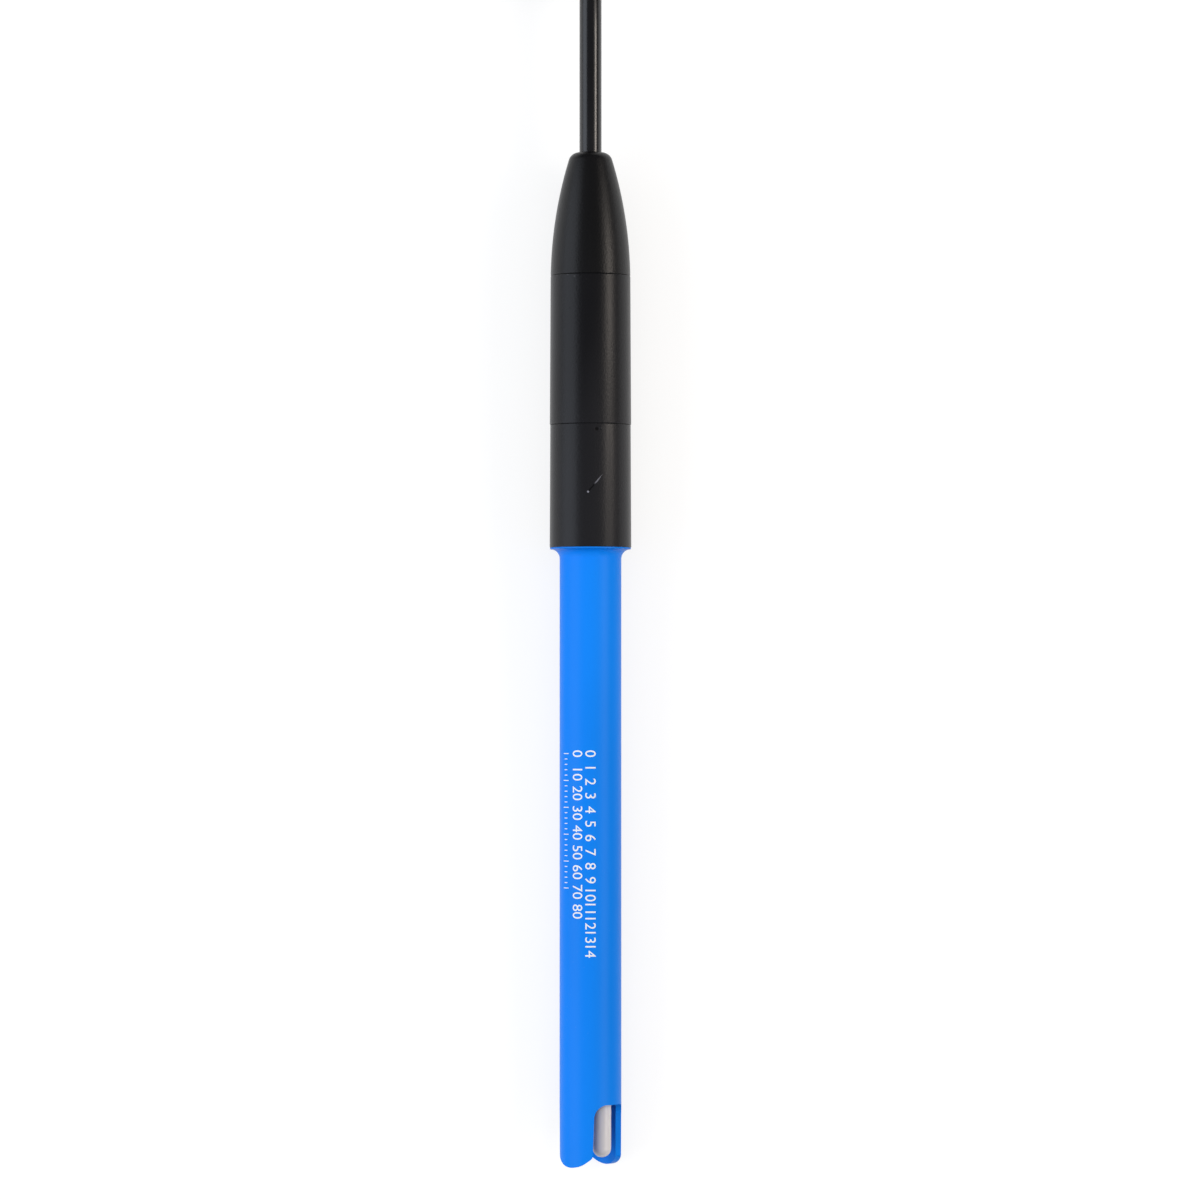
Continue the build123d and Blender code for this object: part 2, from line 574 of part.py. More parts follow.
def main():
    electrode = {"shaft_tube": shaft_tube(), "glass_electrode": glass_electrode()}
    electrode.update(glass_fill())
    electrode.update(temperature_probe())
    electrode.update(shaft_seals())
    electrode.update({"head_sleeve": head_sleeve(), "head_barrel": head_barrel(), "boot_cap": boot_cap()})
    electrode.update(head_o_rings())
    electrode.update(electronics())
    electrode.update(cable_fittings())
    pieces, place = lay_down(electrode)
    pieces.update(cable_and_plug(place))
    os.makedirs("parts", exist_ok=True)
    for name, piece in pieces.items():
        export_step(piece, "parts/" + name + ".step")
    print("tilt", round(REST_TILT, 3), "pieces", len(pieces))


main()
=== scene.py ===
"""The looks of a laboratory pH electrode that lies on a pale bench with its cable tied up.

The electrode is described about its own axis: zero where the blue shaft meets the black
head, the tip at negative heights and the cable at positive ones, in millimetres. Two
placements carry it to the bench: one turned as the tip guard lies, one facing the camera.
"""
from __future__ import annotations

import json
import logging
import math
from dataclasses import dataclass, field
from enum import Enum
from typing import Union

import bmesh
import bpy
from mathutils import Euler, Matrix, Vector


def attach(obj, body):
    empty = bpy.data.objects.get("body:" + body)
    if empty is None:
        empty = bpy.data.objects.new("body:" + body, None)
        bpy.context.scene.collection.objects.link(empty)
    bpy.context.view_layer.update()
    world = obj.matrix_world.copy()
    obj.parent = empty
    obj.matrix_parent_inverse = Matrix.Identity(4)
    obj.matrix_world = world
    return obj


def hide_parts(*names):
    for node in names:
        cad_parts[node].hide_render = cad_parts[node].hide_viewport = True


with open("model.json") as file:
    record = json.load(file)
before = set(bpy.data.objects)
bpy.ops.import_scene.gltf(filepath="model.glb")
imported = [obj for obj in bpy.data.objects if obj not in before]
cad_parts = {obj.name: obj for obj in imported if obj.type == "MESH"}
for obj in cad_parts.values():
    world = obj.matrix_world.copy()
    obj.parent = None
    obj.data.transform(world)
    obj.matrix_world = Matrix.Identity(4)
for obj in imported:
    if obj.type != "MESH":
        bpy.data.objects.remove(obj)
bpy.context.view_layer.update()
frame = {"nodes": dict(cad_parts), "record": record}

LOG = logging.getLogger("ph_electrode")
MM = 0.001
ROOT = "electrode"
COUPLING = "coupling"
Profile = list[tuple[float, float]]
Colour = tuple[float, float, float]
Socket = bpy.types.NodeSocket
Value = Union[bpy.types.NodeSocket, float]


class Finish(Enum):
    """The angle in degrees past which two faces of a piece meet in a crease."""

    TURNED = 28.0
    MOULDED = 40.0
    SOFT = 60.0


@dataclass(frozen=True)
class Placement:
    """Where the electrode's axis lies on the bench, read from the shaft's mount."""

    mount_height: float = -55.0
    guard_roll: float = -38.5

    def _axis(self) -> tuple[Vector, float]:
        """Returns the mount's place and the axis's tilt in radians."""
        mount = next(m for m in frame["record"]["mounts"] if m["name"] == "shaft")
        axis = Vector(mount["axis"])
        return Vector(mount["pos_m"]), math.atan2(-axis.z, -axis.y)

    def facing(self) -> Matrix:
        """Carries millimetres about the axis to the bench, with -Y turned up to the camera."""
        place, tilt = self._axis()
        turn = Matrix.Rotation(tilt - math.pi / 2, 4, "X")
        lift = Matrix.Translation((0, 0, -self.mount_height))
        return Matrix.Translation(place) @ turn @ Matrix.Scale(MM, 4) @ lift

    def guard(self) -> Matrix:
        """As facing, with the windows of the tip guard on +X and -X."""
        return self.facing() @ Matrix.Rotation(math.radians(self.guard_roll), 4, "Z")

    def shader_turn(self) -> tuple[tuple[float, float, float], tuple[float, float, float]]:
        """Returns the place and turn of a Mapping node that gives metres about the axis."""
        place, tilt = self._axis()
        turn = Matrix.Rotation(math.pi / 2 - tilt, 3, "X")
        offset = turn @ -place + Vector((0, 0, self.mount_height * MM))
        return tuple(offset), (math.pi / 2 - tilt, 0.0, 0.0)


PLACE = Placement()


def arc(x: float, z: float, radius: float, start: float, end: float, steps: int) -> Profile:
    """Points of an arc.

    Args:
        x: its centre's distance from the axis.
        z: its centre's height.
        radius: its radius.
        start: the angle of its first point, in degrees.
        end: the angle of its last point, in degrees.
        steps: how many spans it has.

    Returns:
        The points from start to end.
    """
    turns = [math.radians(start + (end - start) * i / steps) for i in range(steps + 1)]
    return [(x + radius * math.cos(t), z + radius * math.sin(t)) for t in turns]


def lathe(outline: Profile, segments: int = 128, closed: bool = True) -> bmesh.types.BMesh:
    """Turns an outline of (radius, height) points about Z.

    Args:
        outline: the points in order.
        segments: steps round the axis.
        closed: whether the last point joins the first.

    Returns:
        The mesh, with poles merged.
    """
    bm = bmesh.new()
    rings = []
    for radius, height in outline:
        ring = []
        for k in range(segments):
            t = 2 * math.pi * k / segments
            ring.append(bm.verts.new((radius * math.cos(t), radius * math.sin(t), height)))
        rings.append(ring)
    pairs = list(zip(rings, rings[1:])) + ([(rings[-1], rings[0])] if closed else [])
    for low, high in pairs:
        for k in range(segments):
            j = (k + 1) % segments
            bm.faces.new((low[k], low[j], high[j], high[k]))
    bmesh.ops.remove_doubles(bm, verts=bm.verts, dist=1e-5)
    bmesh.ops.dissolve_degenerate(bm, edges=bm.edges, dist=1e-6)
    return bm


def softened(outline: Profile, radius: float, steps: int = 3) -> Profile:
    """Rounds every corner of a closed outline.

    Args:
        outline: the corners.
        radius: the rounding, less where a side is short.
        steps: the spans of each rounding.

    Returns:
        The rounded outline.
    """
    points = []
    count = len(outline)
    for i, corner in enumerate(outline):
        here = Vector(corner)
        before = Vector(outline[i - 1]) - here
        after = Vector(outline[(i + 1) % count]) - here
        reach = min(radius, before.length * 0.4, after.length * 0.4)
        first = here + before.normalized() * reach
        last = here + after.normalized() * reach
        for k in range(steps + 1):
            t = k / steps
            point = first * (1 - t) ** 2 + here * (2 * t * (1 - t)) + last * t**2
            points.append((point.x, point.y))
    return points


def freed_mesh(name: str, bm: bmesh.types.BMesh) -> bpy.types.Mesh:
    """Turns a bmesh into a mesh and frees it.

    Args:
        name: the mesh's name.
        bm: what it is made from.

    Returns:
        The mesh.
    """
    mesh = bpy.data.meshes.new(name)
    bm.to_mesh(mesh)
    bm.free()
    return mesh


def new_object(name: str, data: bpy.types.ID) -> bpy.types.Object:
    """Adds an object to the scene and returns it."""
    made = bpy.data.objects.new(name, data)
    bpy.context.scene.collection.objects.link(made)
    return made


def baked(piece: bpy.types.Object) -> bpy.types.Mesh:
    """Returns a curve's, a text's or a modifier's result as a plain mesh."""
    return bpy.data.meshes.new_from_object(piece.evaluated_get(bpy.context.evaluated_depsgraph_get()))


def make_piece(name: str, bm: bmesh.types.BMesh, place: Matrix, material: bpy.types.Material,
               finish: Finish = Finish.TURNED, body: str = ROOT) -> bpy.types.Object:
    """Turns a mesh in millimetres into a finished piece.

    Args:
        name: the piece's name.
        bm: its mesh, which is freed.
        place: where it goes.
        material: its material.
        finish: its shading.
        body: what it rides on.

    Returns:
        The object, at the origin, with its place in its mesh.
    """
    bmesh.ops.transform(bm, matrix=place, verts=bm.verts)
    bmesh.ops.recalc_face_normals(bm, faces=bm.faces)
    return add_mesh(name, freed_mesh(name, bm), material, finish, body)


def add_mesh(name: str, mesh: bpy.types.Mesh, material: bpy.types.Material,
             finish: Finish = Finish.TURNED, body: str = ROOT) -> bpy.types.Object:
    """Links a mesh that is already in place, dresses it and lets it ride on a body.

    Args:
        name: the piece's name.
        mesh: its mesh, in metres.
        material: its material.
        finish: its shading.
        body: what it rides on.

    Returns:
        The object, at the origin.
    """
    mesh.materials.clear()
    mesh.materials.append(material)
    mesh.shade_smooth()
    mesh.set_sharp_from_angle(angle=math.radians(finish.value))
    piece = new_object(name, mesh)
    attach(piece, body)
    LOG.info("%s: %d faces", name, len(mesh.polygons))
    return piece


class Shader:
    """Builds the nodes of one material or group."""

    def __init__(self, tree: bpy.types.NodeTree) -> None:
        """Takes the tree that the nodes go into."""
        self.tree = tree
        self.nodes = tree.nodes

    def add(self, kind: str, links: dict | None = None, **settings: object) -> bpy.types.Node:
        """Adds a node.

        Args:
            kind: its type without the ShaderNode prefix.
            links: input name or number to a socket or a value.
            settings: its own properties.

        Returns:
            The node.
        """
        node = self.nodes.new("ShaderNode" + kind)
        for key, value in settings.items():
            setattr(node, key, value)
        for key, value in (links or {}).items():
            if isinstance(value, bpy.types.NodeSocket):
                self.tree.links.new(value, node.inputs[key])
            else:
                node.inputs[key].default_value = value
        return node

    def math(self, operation: str, first: Value, second: Value = 0.0, clamp: bool = False) -> Socket:
        """Returns the result of one sum on two sockets or numbers."""
        return self.add("Math", {0: first, 1: second}, operation=operation, use_clamp=clamp).outputs[0]

    def plus(self, first: Value, second: Value) -> Socket:
        """Returns first plus second."""
        return self.math("ADD", first, second)

    def minus(self, first: Value, second: Value) -> Socket:
        """Returns first less second."""
        return self.math("SUBTRACT", first, second)

    def times(self, first: Value, second: Value) -> Socket:
        """Returns first times second."""
        return self.math("MULTIPLY", first, second)

    def band(self, value: Value, low: float, high: float) -> Socket:
        """Returns 0 below low and 1 above high, smoothly between."""
        node = self.add("MapRange", {"Value": value, "From Min": low, "From Max": high},
                        interpolation_type="SMOOTHSTEP")
        return node.outputs["Result"]

    def mix(self, factor: Value, first: Socket | Colour, second: Socket | Colour) -> Socket:
        """Mixes two colours.

        Args:
            factor: how much of the second colour shows, 0 to 1.
            first: the first colour.
            second: the second colour.

        Returns:
            The mixed colour.
        """
        node = self.add("Mix", {0: factor}, data_type="RGBA")
        for socket, value in zip(node.inputs[6:8], (first, second)):
            if isinstance(value, bpy.types.NodeSocket):
                self.tree.links.new(value, socket)
            else:
                socket.default_value = (*value, 1.0)
        return node.outputs[2]

    def wear(self, principled: bpy.types.Node, colour: Socket, rough: Socket, bump: bpy.types.Node) -> None:
        """Links a surface's colour, roughness and bump to its Principled BSDF."""
        for key, value in (("Base Color", colour), ("Roughness", rough), ("Normal", bump.outputs[0])):
            self.tree.links.new(value, principled.inputs[key])

    def noise(self, vector: Socket, scale: float, detail: float = 3.0,
              stretch: tuple[float, float, float] | None = None) -> Socket:
        """Makes a noise value.

        Args:
            vector: the coordinates.
            scale: how fine it is, in spots to the metre.
            detail: its octaves.
            stretch: how the coordinates are stretched first, if at all.

        Returns:
            The value, about 0.5 on average.
        """
        if stretch:
            vector = self.add("Mapping", {"Vector": vector, "Scale": stretch}).outputs[0]
        node = self.add("TexNoise", {"Vector": vector, "Scale": scale, "Detail": detail})
        return node.outputs["Fac"]


def new_group(name: str, inputs: dict[str, float | None], outputs: dict[str, str]) -> Shader:
    """Starts a shader node group.

    Args:
        name: the group's name.
        inputs: socket name to its default, or None for a vector.
        outputs: socket name to its socket type.

    Returns:
        A Shader on the group's tree, whose nodes hold its input and output.
    """
    tree = bpy.data.node_groups.new(name, "ShaderNodeTree")
    for key, value in inputs.items():
        kind = "NodeSocketVector" if value is None else "NodeSocketFloat"
        socket = tree.interface.new_socket(key, in_out="INPUT", socket_type=kind)
        if value is not None:
            socket.default_value = value
    for key, kind in outputs.items():
        tree.interface.new_socket(key, in_out="OUTPUT", socket_type=kind)
    shader = Shader(tree)
    shader.nodes.new("NodeGroupInput").name = "in"
    shader.nodes.new("NodeGroupOutput").name = "out"
    return shader


def satin_group() -> bpy.types.NodeTree:
    """The fine grain, soft flow marks and faint rub marks of a moulded surface."""
    shader = new_group("moulded_satin", {"Vector": None, "Grain": 2600.0, "Rubs": 0.5},
                       {"Height": "NodeSocketFloat", "Tone": "NodeSocketFloat", "Rub": "NodeSocketFloat"})
    given = shader.nodes["in"].outputs
    grain = shader.add("TexNoise", {"Vector": given["Vector"], "Scale": given["Grain"], "Detail": 2.0})
    flow = shader.noise(given["Vector"], 60.0, 2.0, (1.0, 1.0, 0.25))
    lines = shader.noise(given["Vector"], 900.0, 2.0, (1.0, 1.0, 0.03))
    rub = shader.times(shader.band(lines, 0.6, 0.72), given["Rubs"])
    height = shader.plus(grain.outputs["Fac"], shader.times(flow, 0.6))
    out = shader.nodes["out"].inputs
    shader.tree.links.new(height, out["Height"])
    shader.tree.links.new(flow, out["Tone"])
    shader.tree.links.new(rub, out["Rub"])
    return shader.tree


def dust_group() -> bpy.types.NodeTree:
    """Sparse specks of dust, as a mask."""
    shader = new_group("dust_specks", {"Vector": None, "Scale": 700.0, "Amount": 0.12},
                       {"Mask": "NodeSocketFloat"})
    given = shader.nodes["in"].outputs
    cells = shader.add("TexVoronoi", {"Vector": given["Vector"], "Scale": given["Scale"]})
    near = shader.math("LESS_THAN", cells.outputs["Distance"], given["Amount"])
    rare = shader.band(shader.noise(given["Vector"], 90.0), 0.56, 0.7)
    shader.tree.links.new(shader.times(near, rare), shader.nodes["out"].inputs["Mask"])
    return shader.tree


SATIN = satin_group()
DUST = dust_group()
DUST_COLOUR = (0.6, 0.6, 0.6)


def new_material(name: str) -> tuple[bpy.types.Material, Shader, bpy.types.Node]:
    """Starts a material.

    Args:
        name: its name.

    Returns:
        The material, the Shader on its nodes and its Principled BSDF.
    """
    material = bpy.data.materials.new(name)
    material.use_nodes = True
    shader = Shader(material.node_tree)
    return material, shader, shader.nodes["Principled BSDF"]


@dataclass(frozen=True)
class Paint:
    """A material with a procedural surface, in one of the object's finishes."""

    name: str
    colour: Colour
    roughness: float = 0.4
    metallic: float = 0.0
    tone: float = 0.06
    bump: float = 0.02
    grain: float = 2600.0
    rubs: float = 0.4
    dust: float = 0.0
    coat: float = 0.0
    specular: float = 0.5
    rub_gloss: float = 0.12
    tone_gloss: float = 0.05
    coat_roughness: float = 0.12
    bump_distance: float = 0.0002

    def build(self) -> bpy.types.Material:
        """Makes the material and returns it."""
        material, shader, principled = new_material(self.name)
        vector = self.coordinates(shader)
        satin = shader.add("Group", node_tree=SATIN)
        shader.tree.links.new(vector, satin.inputs["Vector"])
        satin.inputs["Grain"].default_value = self.grain
        satin.inputs["Rubs"].default_value = self.rubs
        dark = tuple(c * (1 - self.tone) for c in self.colour)
        light = tuple(min(1.0, c * (1 + self.tone) + 0.02 * self.tone) for c in self.colour)
        colour = shader.mix(shader.band(satin.outputs["Tone"], 0.3, 0.7), dark, light)
        if self.dust:
            specks = shader.add("Group", node_tree=DUST)
            shader.tree.links.new(vector, specks.inputs["Vector"])
            colour = shader.mix(shader.times(specks.outputs["Mask"], self.dust), colour, DUST_COLOUR)
        rough = shader.plus(shader.times(satin.outputs["Rub"], self.rub_gloss), self.roughness)
        rough = shader.plus(rough, shader.times(satin.outputs["Tone"], self.tone_gloss))
        height = satin.outputs["Height"]
        colour, height = self.marks(shader, vector, colour, height)
        bump = shader.add("Bump", {"Height": height, "Strength": self.bump, "Distance": self.bump_distance})
        shader.wear(principled, colour, rough, bump)
        principled.inputs["Metallic"].default_value = self.metallic
        principled.inputs["Coat Weight"].default_value = self.coat
        principled.inputs["Coat Roughness"].default_value = self.coat_roughness
        principled.inputs["Specular IOR Level"].default_value = self.specular
        return material

    def coordinates(self, shader: Shader) -> Socket:
        """Returns metres about the electrode's axis, facing the camera."""
        place, turn = PLACE.shader_turn()
        vector = shader.add("TexCoord").outputs["Object"]
        return shader.add("Mapping", {"Vector": vector, "Location": place, "Rotation": turn}).outputs[0]

    def marks(self, shader: Shader, vector: Socket, colour: Socket,
              height: Socket) -> tuple[Socket, Socket]:
        """Adds this finish's own marks; here it has none.

        Args:
            shader: the material's nodes.
            vector: the coordinates.
            colour: the colour so far.
            height: the surface's height so far.

        Returns:
            The colour and the height with the marks.
        """
        return colour, height


@dataclass(frozen=True)
class ScratchedPaint(Paint):
    """The black of the head, with the scratch and the nick that the photograph shows."""

    scratch_from: tuple[float, float] = (2.5, 14.1)
    scratch_to: tuple[float, float] = (-0.45, 10.6)
    scratch_width: float = 0.13
    dot_radius: float = 0.22
    nick: tuple[float, float] = (-3.75, 46.2)
    nick_radius: float = 0.28
    gate: tuple[float, float] = (1.2, 22.75)
    gate_radius: float = 0.4
    spot_edge: tuple[float, float] = (0.7, 1.1)
    scratch_swell: float = 0.35
    scratch_lit: tuple[float, float] = (0.45, 0.62)
    scratch_light: float = 0.6
    wobble: float = 0.2
    wobble_scale: float = 1500.0
    depth: float = 3.0
    shadow: Colour = (0.002, 0.002, 0.003)
    # Colour of the lightened part of the scratch: scuffed plastic with a painted glint.
    scraped: Colour = (0.22, 0.22, 0.26)

    def spot(self, shader: Shader, x: Socket, z: Socket, centre: tuple[float, float],
             radius: float) -> Socket:
        """Makes a round spot with a soft edge.

        Args:
            shader: the material's nodes.
            x: millimetres across the axis.
            z: millimetres along the axis.
            centre: the spot's place.
            radius: its radius.

        Returns:
            Its mask, 1 inside.
        """
        dx = shader.minus(x, centre[0])
        dz = shader.minus(z, centre[1])
        away = shader.plus(shader.times(dx, dx), shader.times(dz, dz))
        away = shader.math("SQRT", away)
        inner, outer = self.spot_edge
        return shader.minus(1.0, shader.band(away, radius * inner, radius * outer))

    def marks(self, shader: Shader, vector: Socket, colour: Socket,
              height: Socket) -> tuple[Socket, Socket]:
        """Adds the scratch, its dot, the nick and the gate's dimple, with painted shadow in them and a
        painted glint on the scratch; as in Paint.
        """
        parts = shader.add("SeparateXYZ", {0: vector}).outputs
        x = shader.times(parts[0], 1 / MM)
        z = shader.times(parts[2], 1 / MM)
        upper = shader.math("LESS_THAN", parts[1], 0.0)
        start, end = Vector(self.scratch_from), Vector(self.scratch_to)
        way = (end - start).normalized()
        dx = shader.minus(x, start.x)
        dz = shader.minus(z, start.y)
        along = shader.plus(shader.times(dx, way.x), shader.times(dz, way.y))
        across = shader.minus(shader.times(dx, way.y), shader.times(dz, way.x))
        share = shader.math("DIVIDE", along, (end - start).length)
        wobble = shader.times(shader.minus(shader.noise(vector, self.wobble_scale), 0.5), self.wobble)
        across = shader.math("ABSOLUTE", shader.plus(across, wobble))
        begun, ended = shader.math("GREATER_THAN", share, 0.0), shader.math("LESS_THAN", share, 1.0)
        inside = shader.times(begun, ended)
        swell = shader.times(shader.band(share, 0.0, self.scratch_swell), self.scratch_width)
        line = shader.times(shader.math("LESS_THAN", across, swell), inside)
        upper_half = shader.times(line, shader.minus(1.0, shader.band(share, *self.scratch_lit)))
        dot = self.spot(shader, x, z, self.scratch_to, self.dot_radius)
        nick = self.spot(shader, x, z, self.nick, self.nick_radius)
        gate = self.spot(shader, x, z, self.gate, self.gate_radius)
        dark = shader.math("MAXIMUM", shader.math("MAXIMUM", line, nick), gate)
        light = shader.math("MAXIMUM", shader.times(upper_half, self.scratch_light), dot)
        dark = shader.times(dark, upper)
        light = shader.times(light, upper)
        # Painted shadow darkens the scratch, the nick and the gate's dimple. The scratch's upper part and
        # its end dot are lightened as scuffed plastic with a painted glint.
        colour = shader.mix(dark, colour, self.shadow)
        colour = shader.mix(light, colour, self.scraped)
        return colour, shader.minus(height, shader.times(dark, self.depth))


@dataclass(frozen=True)
class ShaftPaint(Paint):
    """The blue of the shaft, with painted shade that deepens it in the fillet under the head."""

    # Painted shade in the fillet under the head: its reach in millimetres, its strength and its colour.
    corner_height: float = 1.2
    corner_share: float = 0.35
    corner_colour: Colour = (0.0, 0.09, 0.36)

    def marks(self, shader: Shader, vector: Socket, colour: Socket,
              height: Socket) -> tuple[Socket, Socket]:
        """Adds painted shade: the blue darkens towards the head across the fillet where the shaft meets it;
        as in Paint.
        """
        z = shader.times(shader.add("SeparateXYZ", {0: vector}).outputs[2], 1 / MM)
        # Painted shade: the downward-facing fillet under the head is darkened as if it lay in shadow.
        corner = shader.times(shader.band(z, -self.corner_height, 0.0), self.corner_share)
        return shader.mix(corner, colour, self.corner_colour), height


@dataclass(frozen=True)
class ClearPaint:
    """Glass and other pieces that light goes through."""

    name: str
    colour: Colour
    transmission: float
    roughness: float
    ior: float
    haze: float = 0.1
    streak_scale: float = 500.0
    streak_stretch: tuple[float, float, float] = (1.0, 0.06, 1.0)
    streak_gloss: float = 0.06
    bump: float = 0.04
    bump_distance: float = 0.0002

    def build(self) -> bpy.types.Material:
        """Makes the material and returns it."""
        material, shader, principled = new_material(self.name)
        vector = shader.add("TexCoord").outputs["Object"]
        streaks = shader.noise(vector, self.streak_scale, 2.0, self.streak_stretch)
        grey = tuple(c * (1 - self.haze) for c in self.colour)
        colour = shader.mix(shader.band(streaks, 0.35, 0.65), grey, self.colour)
        rough = shader.plus(shader.times(streaks, self.streak_gloss), self.roughness)
        bump = shader.add("Bump", {"Height": streaks, "Strength": self.bump, "Distance": self.bump_distance})
        shader.wear(principled, colour, rough, bump)
        principled.inputs["Transmission Weight"].default_value = self.transmission
        principled.inputs["IOR"].default_value = self.ior
        return material


@dataclass(frozen=True)
class WeavePaint(Paint):
    """Woven strap: two crossed sets of threads."""

    threads: float = 420.0
    wear_share: float = 0.5
    thread_height: float = 6.0
    worn: Colour = (0.06, 0.06, 0.065)

    def marks(self, shader: Shader, vector: Socket, colour: Socket,
              height: Socket) -> tuple[Socket, Socket]:
        """Adds a plain weave; as in Paint."""
        across, along = (shader.add("TexWave", {"Vector": vector, "Scale": self.threads},
                                    bands_direction=way).outputs["Fac"] for way in "XZ")
        weave = shader.math("MAXIMUM", across, along)
        colour = shader.mix(shader.times(weave, self.wear_share), colour, self.worn)
        return colour, shader.times(weave, self.thread_height)


@dataclass
class Palette:
    """Every material of the object, by the record's slot where it has one."""

    paints: dict[str, bpy.types.Material] = field(default_factory=dict)

    def build(self) -> Palette:
        """Makes all the materials and returns the palette."""
        recipes = (
            ShaftPaint("blue_plastic", (0.0, 0.225, 0.90), roughness=0.36, tone=0.05, bump=0.06,
                       dust=0.02, specular=0.14),
            ScratchedPaint("black_plastic", (0.006, 0.006, 0.008), roughness=0.31, tone=0.3, bump=0.16,
                           dust=0.05, specular=0.24),
            Paint("black_rubber", (0.006, 0.006, 0.007), roughness=0.31, tone=0.3, bump=0.16,
                  specular=0.24),
            Paint("cable_jacket", (0.005, 0.005, 0.007), roughness=0.22, tone=0.3, bump=0.03, rubs=0.8,
                  dust=0.1),
            Paint("seal_resin", (0.02, 0.05, 0.16), roughness=0.3),
            Paint("fibre", (0.85, 0.82, 0.72), roughness=0.9, bump=0.2, grain=5000.0),
            Paint("silver", (0.78, 0.78, 0.76), roughness=0.3, metallic=1.0),
            Paint("steel", (0.62, 0.62, 0.64), roughness=0.28, metallic=1.0),
            Paint("copper", (0.78, 0.38, 0.18), roughness=0.35, metallic=1.0),
            Paint("board", (0.01, 0.12, 0.04), roughness=0.3, coat=0.3),
            Paint("chip", (0.02, 0.02, 0.02), roughness=0.45),
            Paint("white_plastic", (0.72, 0.71, 0.67), roughness=0.4),
            Paint("gold", (0.83, 0.56, 0.16), roughness=0.22, metallic=1.0),
            Paint("coupling_metal", (0.42, 0.42, 0.44), roughness=0.3, metallic=1.0, bump=0.04),
            WeavePaint("strap", (0.018, 0.018, 0.02), roughness=0.85, bump=0.6),
            Paint("print_white", (0.86, 0.88, 0.9), roughness=0.45, tone=0.05),
            ClearPaint("membrane_glass", (0.80, 0.775, 0.80), 0.12, 0.1, 1.5),
            ClearPaint("clear_liquid", (0.92, 0.94, 0.95), 0.9, 0.02, 1.33),
            ClearPaint("clear_gel", (0.9, 0.9, 0.86), 0.85, 0.1, 1.34),
        )
        self.paints = {recipe.name: recipe.build() for recipe in recipes}
        return self

    def __getitem__(self, name: str) -> bpy.types.Material:
        """Returns a material by name."""
        return self.paints[name]

    def dress_nodes(self) -> None:
        """Gives every CAD node the material of its slot."""
        for part in frame["record"]["subparts"]:
            node = frame["nodes"][part["node"]]
            node.data.materials.clear()
            node.data.materials.append(self[part["material_slot"]])


